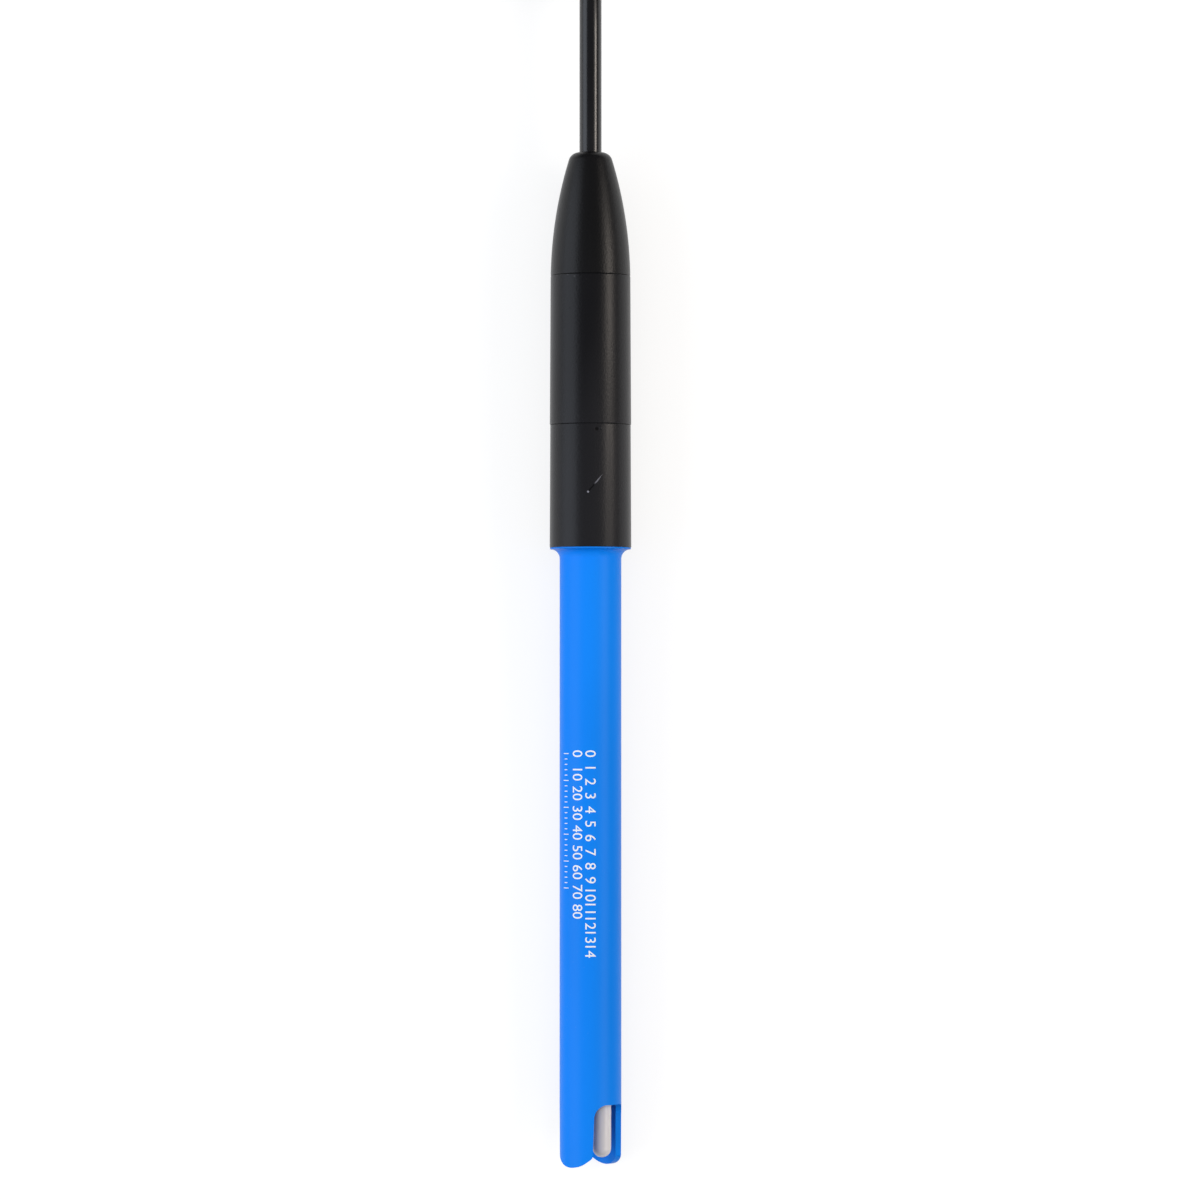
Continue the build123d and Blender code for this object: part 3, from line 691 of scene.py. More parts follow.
@dataclass
class Shaft:
    """The blue shaft tube, with its flange and the two tongues that guard the membrane."""

    radius: float = 6.0
    bore: float = 4.9
    tip: float = -120.0
    window_top: float = -107.9
    window_corner: float = 2.2
    window_half_angle: float = 43.5
    tongue_end_angle: float = 42.4
    tongue_end_radius: float = 5.2
    tongue_half_width: float = 4.05
    tongue_corner: float = 0.9
    flange: float = 7.86
    rim: float = 0.3
    spigot: float = 6.5
    spigot_top: float = 14.0
    join_above_window: float = 1.6
    columns: int = 44
    low_rows: int = 16
    high_rows: int = 8
    body_rows: int = 12

    @property
    def join(self) -> float:
        """The height of the ring where the guard meets the plain tube."""
        return self.window_top + self.join_above_window

    def tongue_angle(self, z: float) -> float:
        """Half the angle of a tongue at a height, in degrees."""
        top = 90 - self.window_half_angle
        share = min(1.0, max(0.0, (self.window_top - z) / (self.window_top - self.tip - 1)))
        return top + (self.tongue_end_angle - top) * share

    def tongue_end(self, x: float) -> float:
        """The height of a tongue's end at a distance from its middle.

        Args:
            x: the distance.

        Returns:
            The height, on the round end or on its small corner.
        """
        centre = self.tip + self.tongue_end_radius
        inner = self.tongue_end_radius - self.tongue_corner
        corner_x = self.tongue_half_width - self.tongue_corner
        corner_z = centre - math.sqrt(inner**2 - corner_x**2)
        x = min(abs(x), self.tongue_half_width)
        if x < corner_x * self.tongue_end_radius / inner:
            return centre - math.sqrt(self.tongue_end_radius**2 - x**2)
        return corner_z - math.sqrt(max(0.0, self.tongue_corner**2 - (x - corner_x) ** 2))

    def window_edge(self, y: float) -> float:
        """The height of a window's arched top at a distance from its middle."""
        half = self.radius * math.sin(math.radians(self.window_half_angle))
        beyond = min(self.window_corner, max(0.0, abs(y) - (half - self.window_corner)))
        return self.window_top - self.window_corner + math.sqrt(self.window_corner**2 - beyond**2)

    def stations(self) -> list[tuple[float, list[tuple[float, float]]]]:
        """Columns round the tube from its end up to the join ring.

        Returns:
            For each column a list of (angle, height), low to high; a tongue's column has the
            low rows as well, a window's only the high ones.
        """
        join = self.join
        spring = self.window_top - self.window_corner
        spread = [math.sin(math.pi / 2 * (2 * i / self.columns - 1)) for i in range(self.columns + 1)]
        columns = []
        for side in (90.0, 270.0):
            for u in spread:
                end = self.tongue_end(self.radius * math.sin(math.radians(u * self.tongue_end_angle)))
                heights = [end + (spring - end) * i / self.low_rows for i in range(self.low_rows)]
                rise = (join - spring) / self.high_rows
                heights += [spring + rise * i for i in range(self.high_rows + 1)]
                columns.append([(side + u * self.tongue_angle(z), z) for z in heights])
            for v in spread[1:-1]:
                edge = self.window_edge(self.radius * math.sin(math.radians(v * self.window_half_angle)))
                heights = [edge + (join - edge) * i / self.high_rows for i in range(self.high_rows + 1)]
                columns.append([(side + 90 + v * self.window_half_angle, z) for z in heights])
        return columns

    def body_outline(self) -> Profile:
        """The outline above the join ring, from the outside over the spigot to the bore."""
        low = -self.rim - (self.flange - self.radius)
        rise = (low - self.join) / self.body_rows
        outside = [(self.radius, self.join + rise * i) for i in range(self.body_rows + 1)]
        flare = arc(self.flange, low, self.flange - self.radius, 180, 90, 10)[1:]
        top = [(self.flange, 0.0), (self.spigot, 0.0), (self.spigot, self.spigot_top),
               (self.bore, self.spigot_top), (self.bore, self.join)]
        return outside + flare + top

    def build(self, palette: Palette) -> None:
        """Makes the shaft tube.

        Args:
            palette: the materials.
        """
        bm = bmesh.new()
        columns = self.stations()
        body = self.body_outline()

        def point(radius: float, angle: float, z: float) -> bmesh.types.BMVert:
            """Returns a new point at a radius, an angle in degrees and a height."""
            turn = math.radians(angle)
            return bm.verts.new((radius * math.cos(turn), radius * math.sin(turn), z))

        skins = []
        for column in columns:
            outer = [point(self.radius, a, z) for a, z in column]
            inner = [point(self.bore, a, z) for a, z in column]
            crown = [point(r, column[-1][0], z) for r, z in body]
            skins.append((outer, inner, crown))
        for here, after in zip(skins, skins[1:] + skins[:1]):
            rows = min(len(here[0]), len(after[0])) - 1
            for skin in (0, 1):
                low, high = here[skin][-rows - 1:], after[skin][-rows - 1:]
                for i in range(rows):
                    bm.faces.new((low[i], high[i], high[i + 1], low[i + 1]))
            for i in range(len(body) - 1):
                bm.faces.new((here[2][i], after[2][i], after[2][i + 1], here[2][i + 1]))
            ends = [column[skin][-rows - 1] for column in (here, after) for skin in (0, 1)]
            bm.faces.new((ends[0], ends[1], ends[3], ends[2]))
        for number, (outer, inner, _) in enumerate(skins):
            tall = len(outer) > self.high_rows + 1
            neighbours = (skins[number - 1], skins[(number + 1) % len(skins)])
            if tall and any(len(other[0]) <= self.high_rows + 1 for other in neighbours):
                for i in range(self.low_rows):
                    bm.faces.new((outer[i], outer[i + 1], inner[i + 1], inner[i]))
        bmesh.ops.remove_doubles(bm, verts=bm.verts, dist=1e-4)
        tube = make_piece("shaft_tube_dressed", bm, PLACE.guard(), palette["blue_plastic"], Finish.MOULDED)
        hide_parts("shaft_tube")


@dataclass
class ShaftPrint:
    """A plain scale of numbers and ticks in white print on the shaft, read towards the tip."""

    radius: float = 6.012
    thickness: float = 0.02
    letter: float = 2.1
    first_line: float = -1.0
    second_line: float = -26.0
    tick_line: float = -52.0
    top: float = -40.0
    bottom: float = -78.0
    second_bottom: float = -70.5
    tick_bottom: float = -66.0
    ticks: int = 26
    cut: float = 0.22
    tick_lengths: tuple[float, float] = (1.5, 0.8)
    tick_width: float = 0.16
    ticks_to_long_one: int = 5
    size_to_letter: float = 1.4

    def wrap(self, bm: bmesh.types.BMesh, line: float, height: float) -> None:
        """Bends flat print round the shaft: its X runs towards the tip, its Y to the right.

        Args:
            bm: the flat print, which is cut along its Y so that it follows the round.
            line: its middle's place round the shaft, in degrees.
            height: its middle's height.
        """
        low = min(vert.co.y for vert in bm.verts)
        high = max(vert.co.y for vert in bm.verts)
        cuts = int((high - low) / self.cut)
        for number in range(1, cuts + 1):
            geometry = [*bm.verts, *bm.edges, *bm.faces]
            place = (0.0, low + (high - low) * number / (cuts + 1), 0.0)
            bmesh.ops.bisect_plane(bm, geom=geometry, plane_co=place, plane_no=(0.0, 1.0, 0.0),
                                   dist=1e-5)
        for vert in bm.verts:
            x, y, z = vert.co
            turn = math.radians(line) + y / self.radius
            radius = self.radius + z
            vert.co = (radius * math.sin(turn), -radius * math.cos(turn), height - x)

    def number(self, text: str) -> bmesh.types.BMesh:
        """Makes one number as a flat plate, centred.

        Args:
            text: the number.

        Returns:
            Its mesh, in millimetres.
        """
        curve = bpy.data.curves.new("number", "FONT")
        curve.body = text
        curve.size = self.letter * self.size_to_letter
        curve.align_x = "CENTER"
        curve.align_y = "CENTER"
        curve.extrude = self.thickness / 2
        curve.resolution_u = 4
        holder = new_object("number", curve)
        mesh = baked(holder)
        bm = bmesh.new()
        bm.from_mesh(mesh)
        bpy.data.objects.remove(holder)
        bpy.data.meshes.remove(mesh)
        bmesh.ops.triangulate(bm, faces=bm.faces)
        bmesh.ops.remove_doubles(bm, verts=bm.verts, dist=1e-4)
        return bm

    def tick(self, length: float) -> bmesh.types.BMesh:
        """Returns one tick as a flat plate, in millimetres."""
        bm = bmesh.new()
        bmesh.ops.create_cube(bm, size=1.0)
        bmesh.ops.scale(bm, vec=(self.tick_width, length, self.thickness), verts=bm.verts)
        return bm

    def line(self, name: str, values: range, angle: float, bottom: float,
             palette: Palette) -> None:
        """Prints one row of numbers, evenly spaced from the top of the print to the bottom.

        Args:
            name: the piece's name.
            values: the numbers.
            angle: the row's place round the shaft, in degrees.
            bottom: the height of its last number.
            palette: the materials.
        """
        joined = bmesh.new()
        step = (self.top - bottom) / (len(values) - 1)
        for place, value in enumerate(values):
            self.add(joined, self.number(str(value)), angle, self.top - place * step)
        self.finish(name, joined, palette)

    def add(self, joined: bmesh.types.BMesh, bm: bmesh.types.BMesh, angle: float, height: float) -> None:
        """Wraps one mark round the shaft and adds it to the others.

        Args:
            joined: the marks so far.
            bm: the new mark, which is freed.
            angle: its place round the shaft, in degrees.
            height: its height.
        """
        self.wrap(bm, angle, height)
        mesh = freed_mesh("mark", bm)
        joined.from_mesh(mesh)
        bpy.data.meshes.remove(mesh)

    def finish(self, name: str, joined: bmesh.types.BMesh, palette: Palette) -> None:
        """Turns the marks into a piece."""
        row = make_piece(name, joined, PLACE.facing(), palette["print_white"], Finish.MOULDED)

    def build(self, palette: Palette) -> None:
        """Makes two rows of numbers and a row of ticks.

        Args:
            palette: the materials.
        """
        self.line("scale_print_first", range(15), self.first_line, self.bottom, palette)
        self.line("scale_print_second", range(0, 81, 10), self.second_line, self.second_bottom, palette)
        joined = bmesh.new()
        step = (self.top - self.tick_bottom) / (self.ticks - 1)
        for place in range(self.ticks):
            length = self.tick_lengths[0 if place % self.ticks_to_long_one == 0 else 1]
            self.add(joined, self.tick(length), self.tick_line, self.top - place * step)
        self.finish("scale_print_ticks", joined, palette)


@dataclass
class SensingEnd:
    """The glass electrode, its liquid and the temperature tube beside it."""

    glass_radius: float = 1.8
    glass_wall: float = 0.45
    glass_offset: float = 2.85
    glass_end: float = -118.2
    glass_top: float = -12.0
    liquid_top: float = -60.0
    probe_radius: float = 1.3
    probe_wall: float = 0.2
    probe_offset: float = 2.6
    probe_end: float = -117.0
    probe_top: float = -2.0
    liquid_gap: float = 0.01

    def closed_tube(self, radius: float, wall: float, end: float, top: float) -> Profile:
        """The outline of a tube with a round closed end.

        Args:
            radius: its outer radius.
            wall: its wall.
            end: the height of its closed end.
            top: the height of its open end.

        Returns:
            The points, from the outside of the closed end over the open one to the inside.
        """
        inner = radius - wall
        outside = arc(0, end + radius, radius, -90, 0, 16)
        inside = arc(0, end + radius, inner, 0, -90, 16)
        return outside + [(radius, top), (inner, top)] + inside

    def build(self, palette: Palette) -> None:
        """Makes the glass, the liquid and the steel tube.

        Args:
            palette: the materials.
        """
        guard = PLACE.guard()
        glass_place = guard @ Matrix.Translation((self.glass_offset, 0, 0))
        probe_place = guard @ Matrix.Translation((-self.probe_offset, 0, 0))
        inner = self.glass_radius - self.glass_wall - self.liquid_gap
        low = self.glass_end + self.glass_wall + self.liquid_gap
        glass = self.closed_tube(self.glass_radius, self.glass_wall, self.glass_end, self.glass_top)
        liquid = arc(0, low + inner, inner, -90, 0, 12) + [(inner, self.liquid_top), (0, self.liquid_top)]
        probe = self.closed_tube(self.probe_radius, self.probe_wall, self.probe_end, self.probe_top)
        plan = (("glass_membrane", glass, 64, glass_place, "glass_electrode", "membrane_glass"),
                ("buffer_liquid", liquid, 48, glass_place, "inner_buffer", "clear_liquid"),
                ("temperature_tube_dressed", probe, 48, probe_place, "temperature_tube", "steel"))
        for name, outline, segments, place, node, paint in plan:
            piece = make_piece(name, lathe(outline, segments, False), place, palette[paint])
            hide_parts(node)


@dataclass
class Head:
    """The black head: sleeve, barrel and the ogive boot that grips the cable."""

    sleeve: tuple[float, float] = (7.94, 7.83)
    sleeve_top: float = 23.9
    barrel: tuple[float, float] = (7.92, 7.77)
    barrel_top: float = 52.9
    spigot: float = 6.5
    fit: float = 0.05
    barrel_bore: float = 6.2
    spigot_bore: float = 5.1
    boot_base: float = 7.76
    boot_neck: float = 4.4
    boot_top: float = 77.0
    boot_rounding: float = 2.0
    flank: float = 82.0
    cable_bore: float = 2.2
    seam: float = 0.12
    corner: float = 0.18
    spigot_reach: float = 6.0
    shoulder: float = 2.0
    cavity_bore: float = 4.9
    cavity_reach: float = 7.0
    cavity_taper: float = 4.0
    gate_angle: float = 14.8
    gate_height: float = 22.9
    gate_seat: float = 7.84
    gate_outline: tuple[tuple[float, float], ...] = (
        (0.0, 0.13), (0.12, 0.12), (0.22, 0.07), (0.28, 0.0), (0.28, -0.2), (0.0, -0.2))

    def sleeve_outline(self) -> Profile:
        """The lower ring of the head."""
        bore = self.spigot + self.fit
        corners = [(bore, 0.0), (self.sleeve[0], 0.0), (self.sleeve[1], self.sleeve_top),
                   (bore, self.sleeve_top)]
        return softened(corners, self.corner, 4)

    def barrel_outline(self) -> Profile:
        """The housing of the electronics, with its spigot."""
        low, shoulder = self.sleeve_top - self.spigot_reach, self.sleeve_top + self.shoulder
        corners = [(self.spigot_bore, low), (self.spigot, low), (self.spigot, self.sleeve_top),
                   (self.barrel[0], self.sleeve_top), (self.barrel[1], self.barrel_top),
                   (self.barrel_bore, self.barrel_top), (self.barrel_bore, shoulder),
                   (self.spigot_bore, shoulder)]
        return softened(corners, self.corner, 4)

    def boot_outline(self) -> Profile:
        """The boot: a long arc from the barrel to a rounded mouth round the cable."""
        neck = Vector((self.boot_neck, self.boot_top - self.boot_rounding))
        base = Vector((self.boot_base, self.barrel_top + self.seam))
        middle = (base + neck) / 2
        chord = neck - base
        inward = Vector((-chord.y, chord.x)).normalized()
        centre = middle + inward * math.sqrt(self.flank**2 - (chord.length / 2) ** 2)
        start = math.degrees(math.atan2(base.y - centre.y, base.x - centre.x))
        reach = self.flank - self.boot_rounding
        crown_x = centre.x + math.sqrt(reach**2 - (neck.y - centre.y) ** 2)
        end = math.degrees(math.atan2(neck.y - centre.y, crown_x - centre.x))
        side = arc(centre.x, centre.y, self.flank, start, end, 40)
        crown = arc(crown_x, neck.y, self.boot_rounding, end, 90, 12)[1:]
        cavity, low = self.barrel_top + self.cavity_reach, self.barrel_top - self.spigot_reach
        bore, spigot = self.cavity_bore, self.barrel_bore - self.fit
        inside = [(self.cable_bore, self.boot_top), (self.cable_bore, cavity + self.cavity_taper),
                  (bore, cavity), (bore, low), (spigot, low), (spigot, self.barrel_top)]
        return side + crown + inside + [(self.boot_base - self.seam, self.barrel_top)]

    def build(self, palette: Palette) -> None:
        """Makes the three housings.

        Args:
            palette: the materials.
        """
        facing = PLACE.facing()
        plan = (("head_sleeve", self.sleeve_outline(), "black_plastic"),
                ("head_barrel", self.barrel_outline(), "black_plastic"),
                ("boot_cap", self.boot_outline(), "black_rubber"))
        for node, outline, paint in plan:
            piece = make_piece(node + "_dressed", lathe(outline, 160), facing, palette[paint])
            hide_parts(node)
        self.gate_mark(palette)

    def gate_mark(self, palette: Palette) -> None:
        """The small round mark of the moulding gate just under the barrel's seam.

        Args:
            palette: the materials.
        """
        angle, out = math.radians(self.gate_angle), self.gate_seat
        seat = Matrix.Translation((out * math.sin(angle), -out * math.cos(angle), self.gate_height))
        turn = Matrix.Rotation(angle, 4, "Z") @ Matrix.Rotation(math.pi / 2, 4, "X")
        place = PLACE.facing() @ seat @ turn
        nub = lathe(list(self.gate_outline), 32, False)
        mark = make_piece("gate_mark", nub, place, palette["black_plastic"], Finish.SOFT)


@dataclass
class Hank:
    """The route of the whole cable: out of the boot, round the tied hank and into the plug."""

    radius: float = 2.15
    fold: float = 12.9
    neck: float = 2.3
    run: float = 58.0
    from_boot: float = 56.5
    tie_thickness: float = 0.8
    tie_width: float = 9.0
    bulge: float = 1.5
    inside: float = 20.0
    side_steps: int = 6
    fold_steps: int = 5
    plug_start: float = 28.0
    plug_side: float = 3.0
    plug_clearance: float = 0.35
    coupling_radius: float = 6.5
    layers: int = 3
    turns: tuple[tuple[int, int], ...] = ((0, 1), (0, 0), (1, 0), (1, 1), (2, 1), (2, 0))
    lead_straight: tuple[float, float] = (18.5, 32.0)
    lead_drop_end: float = 12.0
    lead_drop_rise: float = 1.6
    tail_before_fold: float = 3.0
    tail_in_fold: float = 8.0
    tail_side: float = 1.5
    tail_drop: float = 1.1
    tail_straight: float = 7.0
    tail_in_plug: float = 6.0

    @property
    def top(self) -> float:
        """The height of the tied turns."""
        return self.tie_thickness + 2 * self.radius * self.layers

    def exit_point(self) -> Vector:
        """Where the cable leaves the boot, in metres."""
        return PLACE.facing() @ Vector((0, 0, Head.boot_top))

    def centre(self) -> tuple[float, float]:
        """The middle of the hank, in millimetres."""
        return -(self.fold + 2 * self.radius), self.exit_point().y / MM + self.from_boot + self.run / 2

    def plug_origin(self) -> Vector:
        """The cable end of the plug's relief, in millimetres."""
        x, y = self.centre()
        height = self.top + self.plug_clearance + self.coupling_radius
        return Vector((x + self.plug_side, y - self.run / 2 + self.plug_start, height))

    def strand(self, turn: int, share: float) -> tuple[float, float, float]:
        """Where a turn runs as it changes to the next.

        Args:
            turn: its number.
            share: how far the near fold has gone to the next turn, 0 to 1.

        Returns:
            The fold's radius, the neck's offset and the layer.
        """
        layer, abreast = self.turns[turn]
        next_layer, next_abreast = self.turns[min(turn + 1, len(self.turns) - 1)]
        level = layer + (next_layer - layer) * share
        out = abreast + (next_abreast - abreast) * share
        sway = 0.0
        if next_layer != layer:
            sway = self.bulge * math.sin(math.pi * share) * (1 if abreast else -1)
        return self.fold + 2 * self.radius * out + sway, self.neck + 2 * self.radius * out, level

    def height(self, level: float, y: float) -> float:
        """The height of a strand's middle: the waist lies on the strap, the folds on the bench."""
        lift = self.tie_thickness * max(0.0, 1 - (abs(y) / (self.run / 2)) ** 2)
        return lift + self.radius * (1 + 2 * level)

    def side(self, turn: int, sign: int) -> list[Vector]:
        """Points along one run of a turn.

        Args:
            turn: its number.
            sign: 1 for the right run, towards +Y, and -1 for the left one, back again.

        Returns:
            The points, about the hank's middle.
        """
        radius, neck, level = self.strand(turn, 0.0)
        half = self.run / 2
        points = []
        for i in range(self.side_steps + 1):
            share = 2 * i / self.side_steps - 1
            ease = abs(share) ** 2 * (3 - 2 * abs(share))
            y = half * share * sign
            x = sign * (neck + (radius - neck) * ease)
            points.append(Vector((x, y, self.height(level, y))))
        return points

    def fold_points(self, turn: int, near: bool) -> list[Vector]:
        """Points round one end of a turn.

        Args:
            turn: its number.
            near: whether it is the near end, which carries the cable over to the next turn.

        Returns:
            The points, about the hank's middle.
        """
        points = []
        for i in range(1, self.fold_steps):
            share = i / self.fold_steps
            radius, _, level = self.strand(turn, share if near else 0.0)
            radius /= math.cos(math.pi / self.fold_steps / 2)
            angle = math.pi * share + (math.pi if near else 0.0)
            y = (-1 if near else 1) * self.run / 2 + radius * math.sin(angle)
            points.append(Vector((radius * math.cos(angle), y, self.height(level, self.run / 2))))
        return points

    def route(self) -> list[Vector]:
        """Returns the cable's control points from inside the boot to inside the plug, in metres."""
        facing = PLACE.facing()
        x, y = self.centre()
        near = y - self.run / 2
        steps = (-self.inside, *self.lead_straight)
        lead = [facing @ Vector((0, 0, Head.boot_top + step)) / MM for step in steps]
        drop_height = self.tie_thickness + self.radius + self.lead_drop_rise
        lead.append(Vector((0, near - self.lead_drop_end, drop_height)))
        turns = []
        for turn in range(len(self.turns)):
            turns += self.side(turn, 1) + self.fold_points(turn, False)
            turns += self.side(turn, -1)
            if turn < len(self.turns) - 1:
                turns += self.fold_points(turn, True)
        turns += self.fold_points(len(self.turns) - 1, True)
        turns = [Vector((x, y, 0)) + point for point in turns]
        plug = self.plug_origin()
        inner = x + self.fold
        tail = [Vector((inner, near - self.tail_before_fold, self.top - self.radius)),
                Vector((inner - self.tail_side, near + self.tail_in_fold, self.top - self.tail_drop)),
                plug + Vector((0, -self.tail_straight, 0)), plug + Vector((0, self.tail_in_plug, 0))]
        return [point * MM for point in lead + turns + tail]


@dataclass
class Cable:
    """The whole cable as one smooth curve, and the strap that ties it."""

    hank: Hank
    strap_corner: float = 2.2

    def build(self, palette: Palette, plug_pieces: list[bpy.types.Object]) -> None:
        """Args:
            palette: the materials.
            plug_pieces: the pieces at the cable's far end; not used.
        """
        route = self.hank.route()
        curve = bpy.data.curves.new("cable", "CURVE")
        curve.dimensions = "3D"
        curve.resolution_u = 8
        spline = curve.splines.new("NURBS")
        spline.points.add(len(route) - 1)
        for point, place in zip(spline.points, route):
            point.co = (*place, 1.0)
        spline.order_u = 3
        spline.use_endpoint_u = True
        holder = new_object("cable", curve)
        line = baked(holder)
        bpy.data.meshes.remove(line)
        curve.bevel_depth = self.hank.radius * MM
        curve.bevel_resolution = 6
        curve.use_fill_caps = True
        curve.materials.append(palette["cable_jacket"])
        for part in curve.splines:
            part.use_smooth = True
        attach(holder, ROOT)
        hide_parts("cable_lead", "cable_hank", "cable_tail")
        strap = self.strap(palette)
        tuple(self.hank.exit_point())

    def strap(self, palette: Palette) -> bpy.types.Object:
        """Makes the woven strap round the waist of the hank.

        Args:
            palette: the materials.

        Returns:
            The strap.
        """
        hank = self.hank
        half_x = hank.neck + 3 * hank.radius
        half_z = hank.radius * hank.layers
        thickness, half_width = hank.tie_thickness, hank.tie_width / 2
        corners = [(-half_x, -half_z), (half_x, -half_z), (half_x, half_z), (-half_x, half_z)]
        middle = Vector((hank.centre()[0], hank.centre()[1], thickness + half_z))
        bm = bmesh.new()
        rings = []
        for x, z in softened(corners, self.strap_corner, 6):
            away = Vector((x, z)).normalized() * thickness
            inner, outer = (x, z), (x + away.x, z + away.y)
            ring = []
            for (px, pz), y in ((inner, -half_width), (inner, half_width), (outer, half_width),
                                (outer, -half_width)):
                px = max(-half_x - thickness, min(half_x + thickness, px))
                pz = max(-half_z - thickness, min(half_z + thickness, pz))
                ring.append(bm.verts.new((px, y, pz)))
            rings.append(ring)
        for here, after in zip(rings, rings[1:] + rings[:1]):
            for k in range(4):
                j = (k + 1) % 4
                bm.faces.new((here[k], here[j], after[j], after[k]))
        place = Matrix.Scale(MM, 4) @ Matrix.Translation(middle)
        band = make_piece("hank_strap", bm, place, palette["strap"], Finish.MOULDED)
        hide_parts("hank_tie")
        return band


def circle_pattern(name: str, item: bpy.types.Object, count: int, radius: float,
                   material: bpy.types.Material) -> bpy.types.Mesh:
    """Repeats an item round the Z axis with Geometry Nodes.

    Args:
        name: the result's name.
        item: what is repeated, pointing outward along +X.
        count: how many.
        radius: how far from the axis.
        material: the result's material.

    Returns:
        The plain mesh of all the copies.
    """
    tree = bpy.data.node_groups.new(name, "GeometryNodeTree")
    tree.is_modifier = True
    tree.interface.new_socket("Geometry", in_out="INPUT", socket_type="NodeSocketGeometry")
    sockets = {}
    inputs = (("Item", "NodeSocketObject", item), ("Count", "NodeSocketInt", count),
              ("Radius", "NodeSocketFloat", radius), ("Material", "NodeSocketMaterial", material))
    for key, kind, value in inputs:
        sockets[key] = (tree.interface.new_socket(key, in_out="INPUT", socket_type=kind), value)
    tree.interface.new_socket("Geometry", in_out="OUTPUT", socket_type="NodeSocketGeometry")
    nodes, links = tree.nodes, tree.links
    given = nodes.new("NodeGroupInput").outputs
    out = nodes.new("NodeGroupOutput")
    ring = nodes.new("GeometryNodeMeshCircle")
    points = nodes.new("GeometryNodeMeshToPoints")
    info = nodes.new("GeometryNodeObjectInfo")
    place = nodes.new("GeometryNodeInputPosition")
    align = nodes.new("FunctionNodeAlignRotationToVector")
    align.axis = "X"
    align.pivot_axis = "Z"
    copies = nodes.new("GeometryNodeInstanceOnPoints")
    realize = nodes.new("GeometryNodeRealizeInstances")
    dress = nodes.new("GeometryNodeSetMaterial")
    links.new(given["Count"], ring.inputs["Vertices"])
    links.new(given["Radius"], ring.inputs["Radius"])
    links.new(ring.outputs[0], points.inputs[0])
    links.new(given["Item"], info.inputs["Object"])
    links.new(place.outputs[0], align.inputs["Vector"])
    links.new(points.outputs[0], copies.inputs["Points"])
    links.new(info.outputs["Geometry"], copies.inputs["Instance"])
    links.new(align.outputs[0], copies.inputs["Rotation"])
    links.new(copies.outputs[0], realize.inputs[0])
    links.new(realize.outputs[0], dress.inputs["Geometry"])
    links.new(given["Material"], dress.inputs["Material"])
    links.new(dress.outputs[0], out.inputs[0])
    base = new_object(name, bpy.data.meshes.new(name))
    modifier = base.modifiers.new(name, "NODES")
    modifier.node_group = tree
    for socket, value in sockets.values():
        modifier[socket.identifier] = value
    base.data.update()
    bpy.context.view_layer.update()
    mesh = baked(base)
    base.modifiers.clear()
    for spare in (base, item):
        bpy.data.objects.remove(spare)
    return mesh


def loose_item(name: str, bm: bmesh.types.BMesh) -> bpy.types.Object:
    """Returns an object that is to be repeated."""
    bmesh.ops.recalc_face_normals(bm, faces=bm.faces)
    return new_object(name, freed_mesh(name, bm))


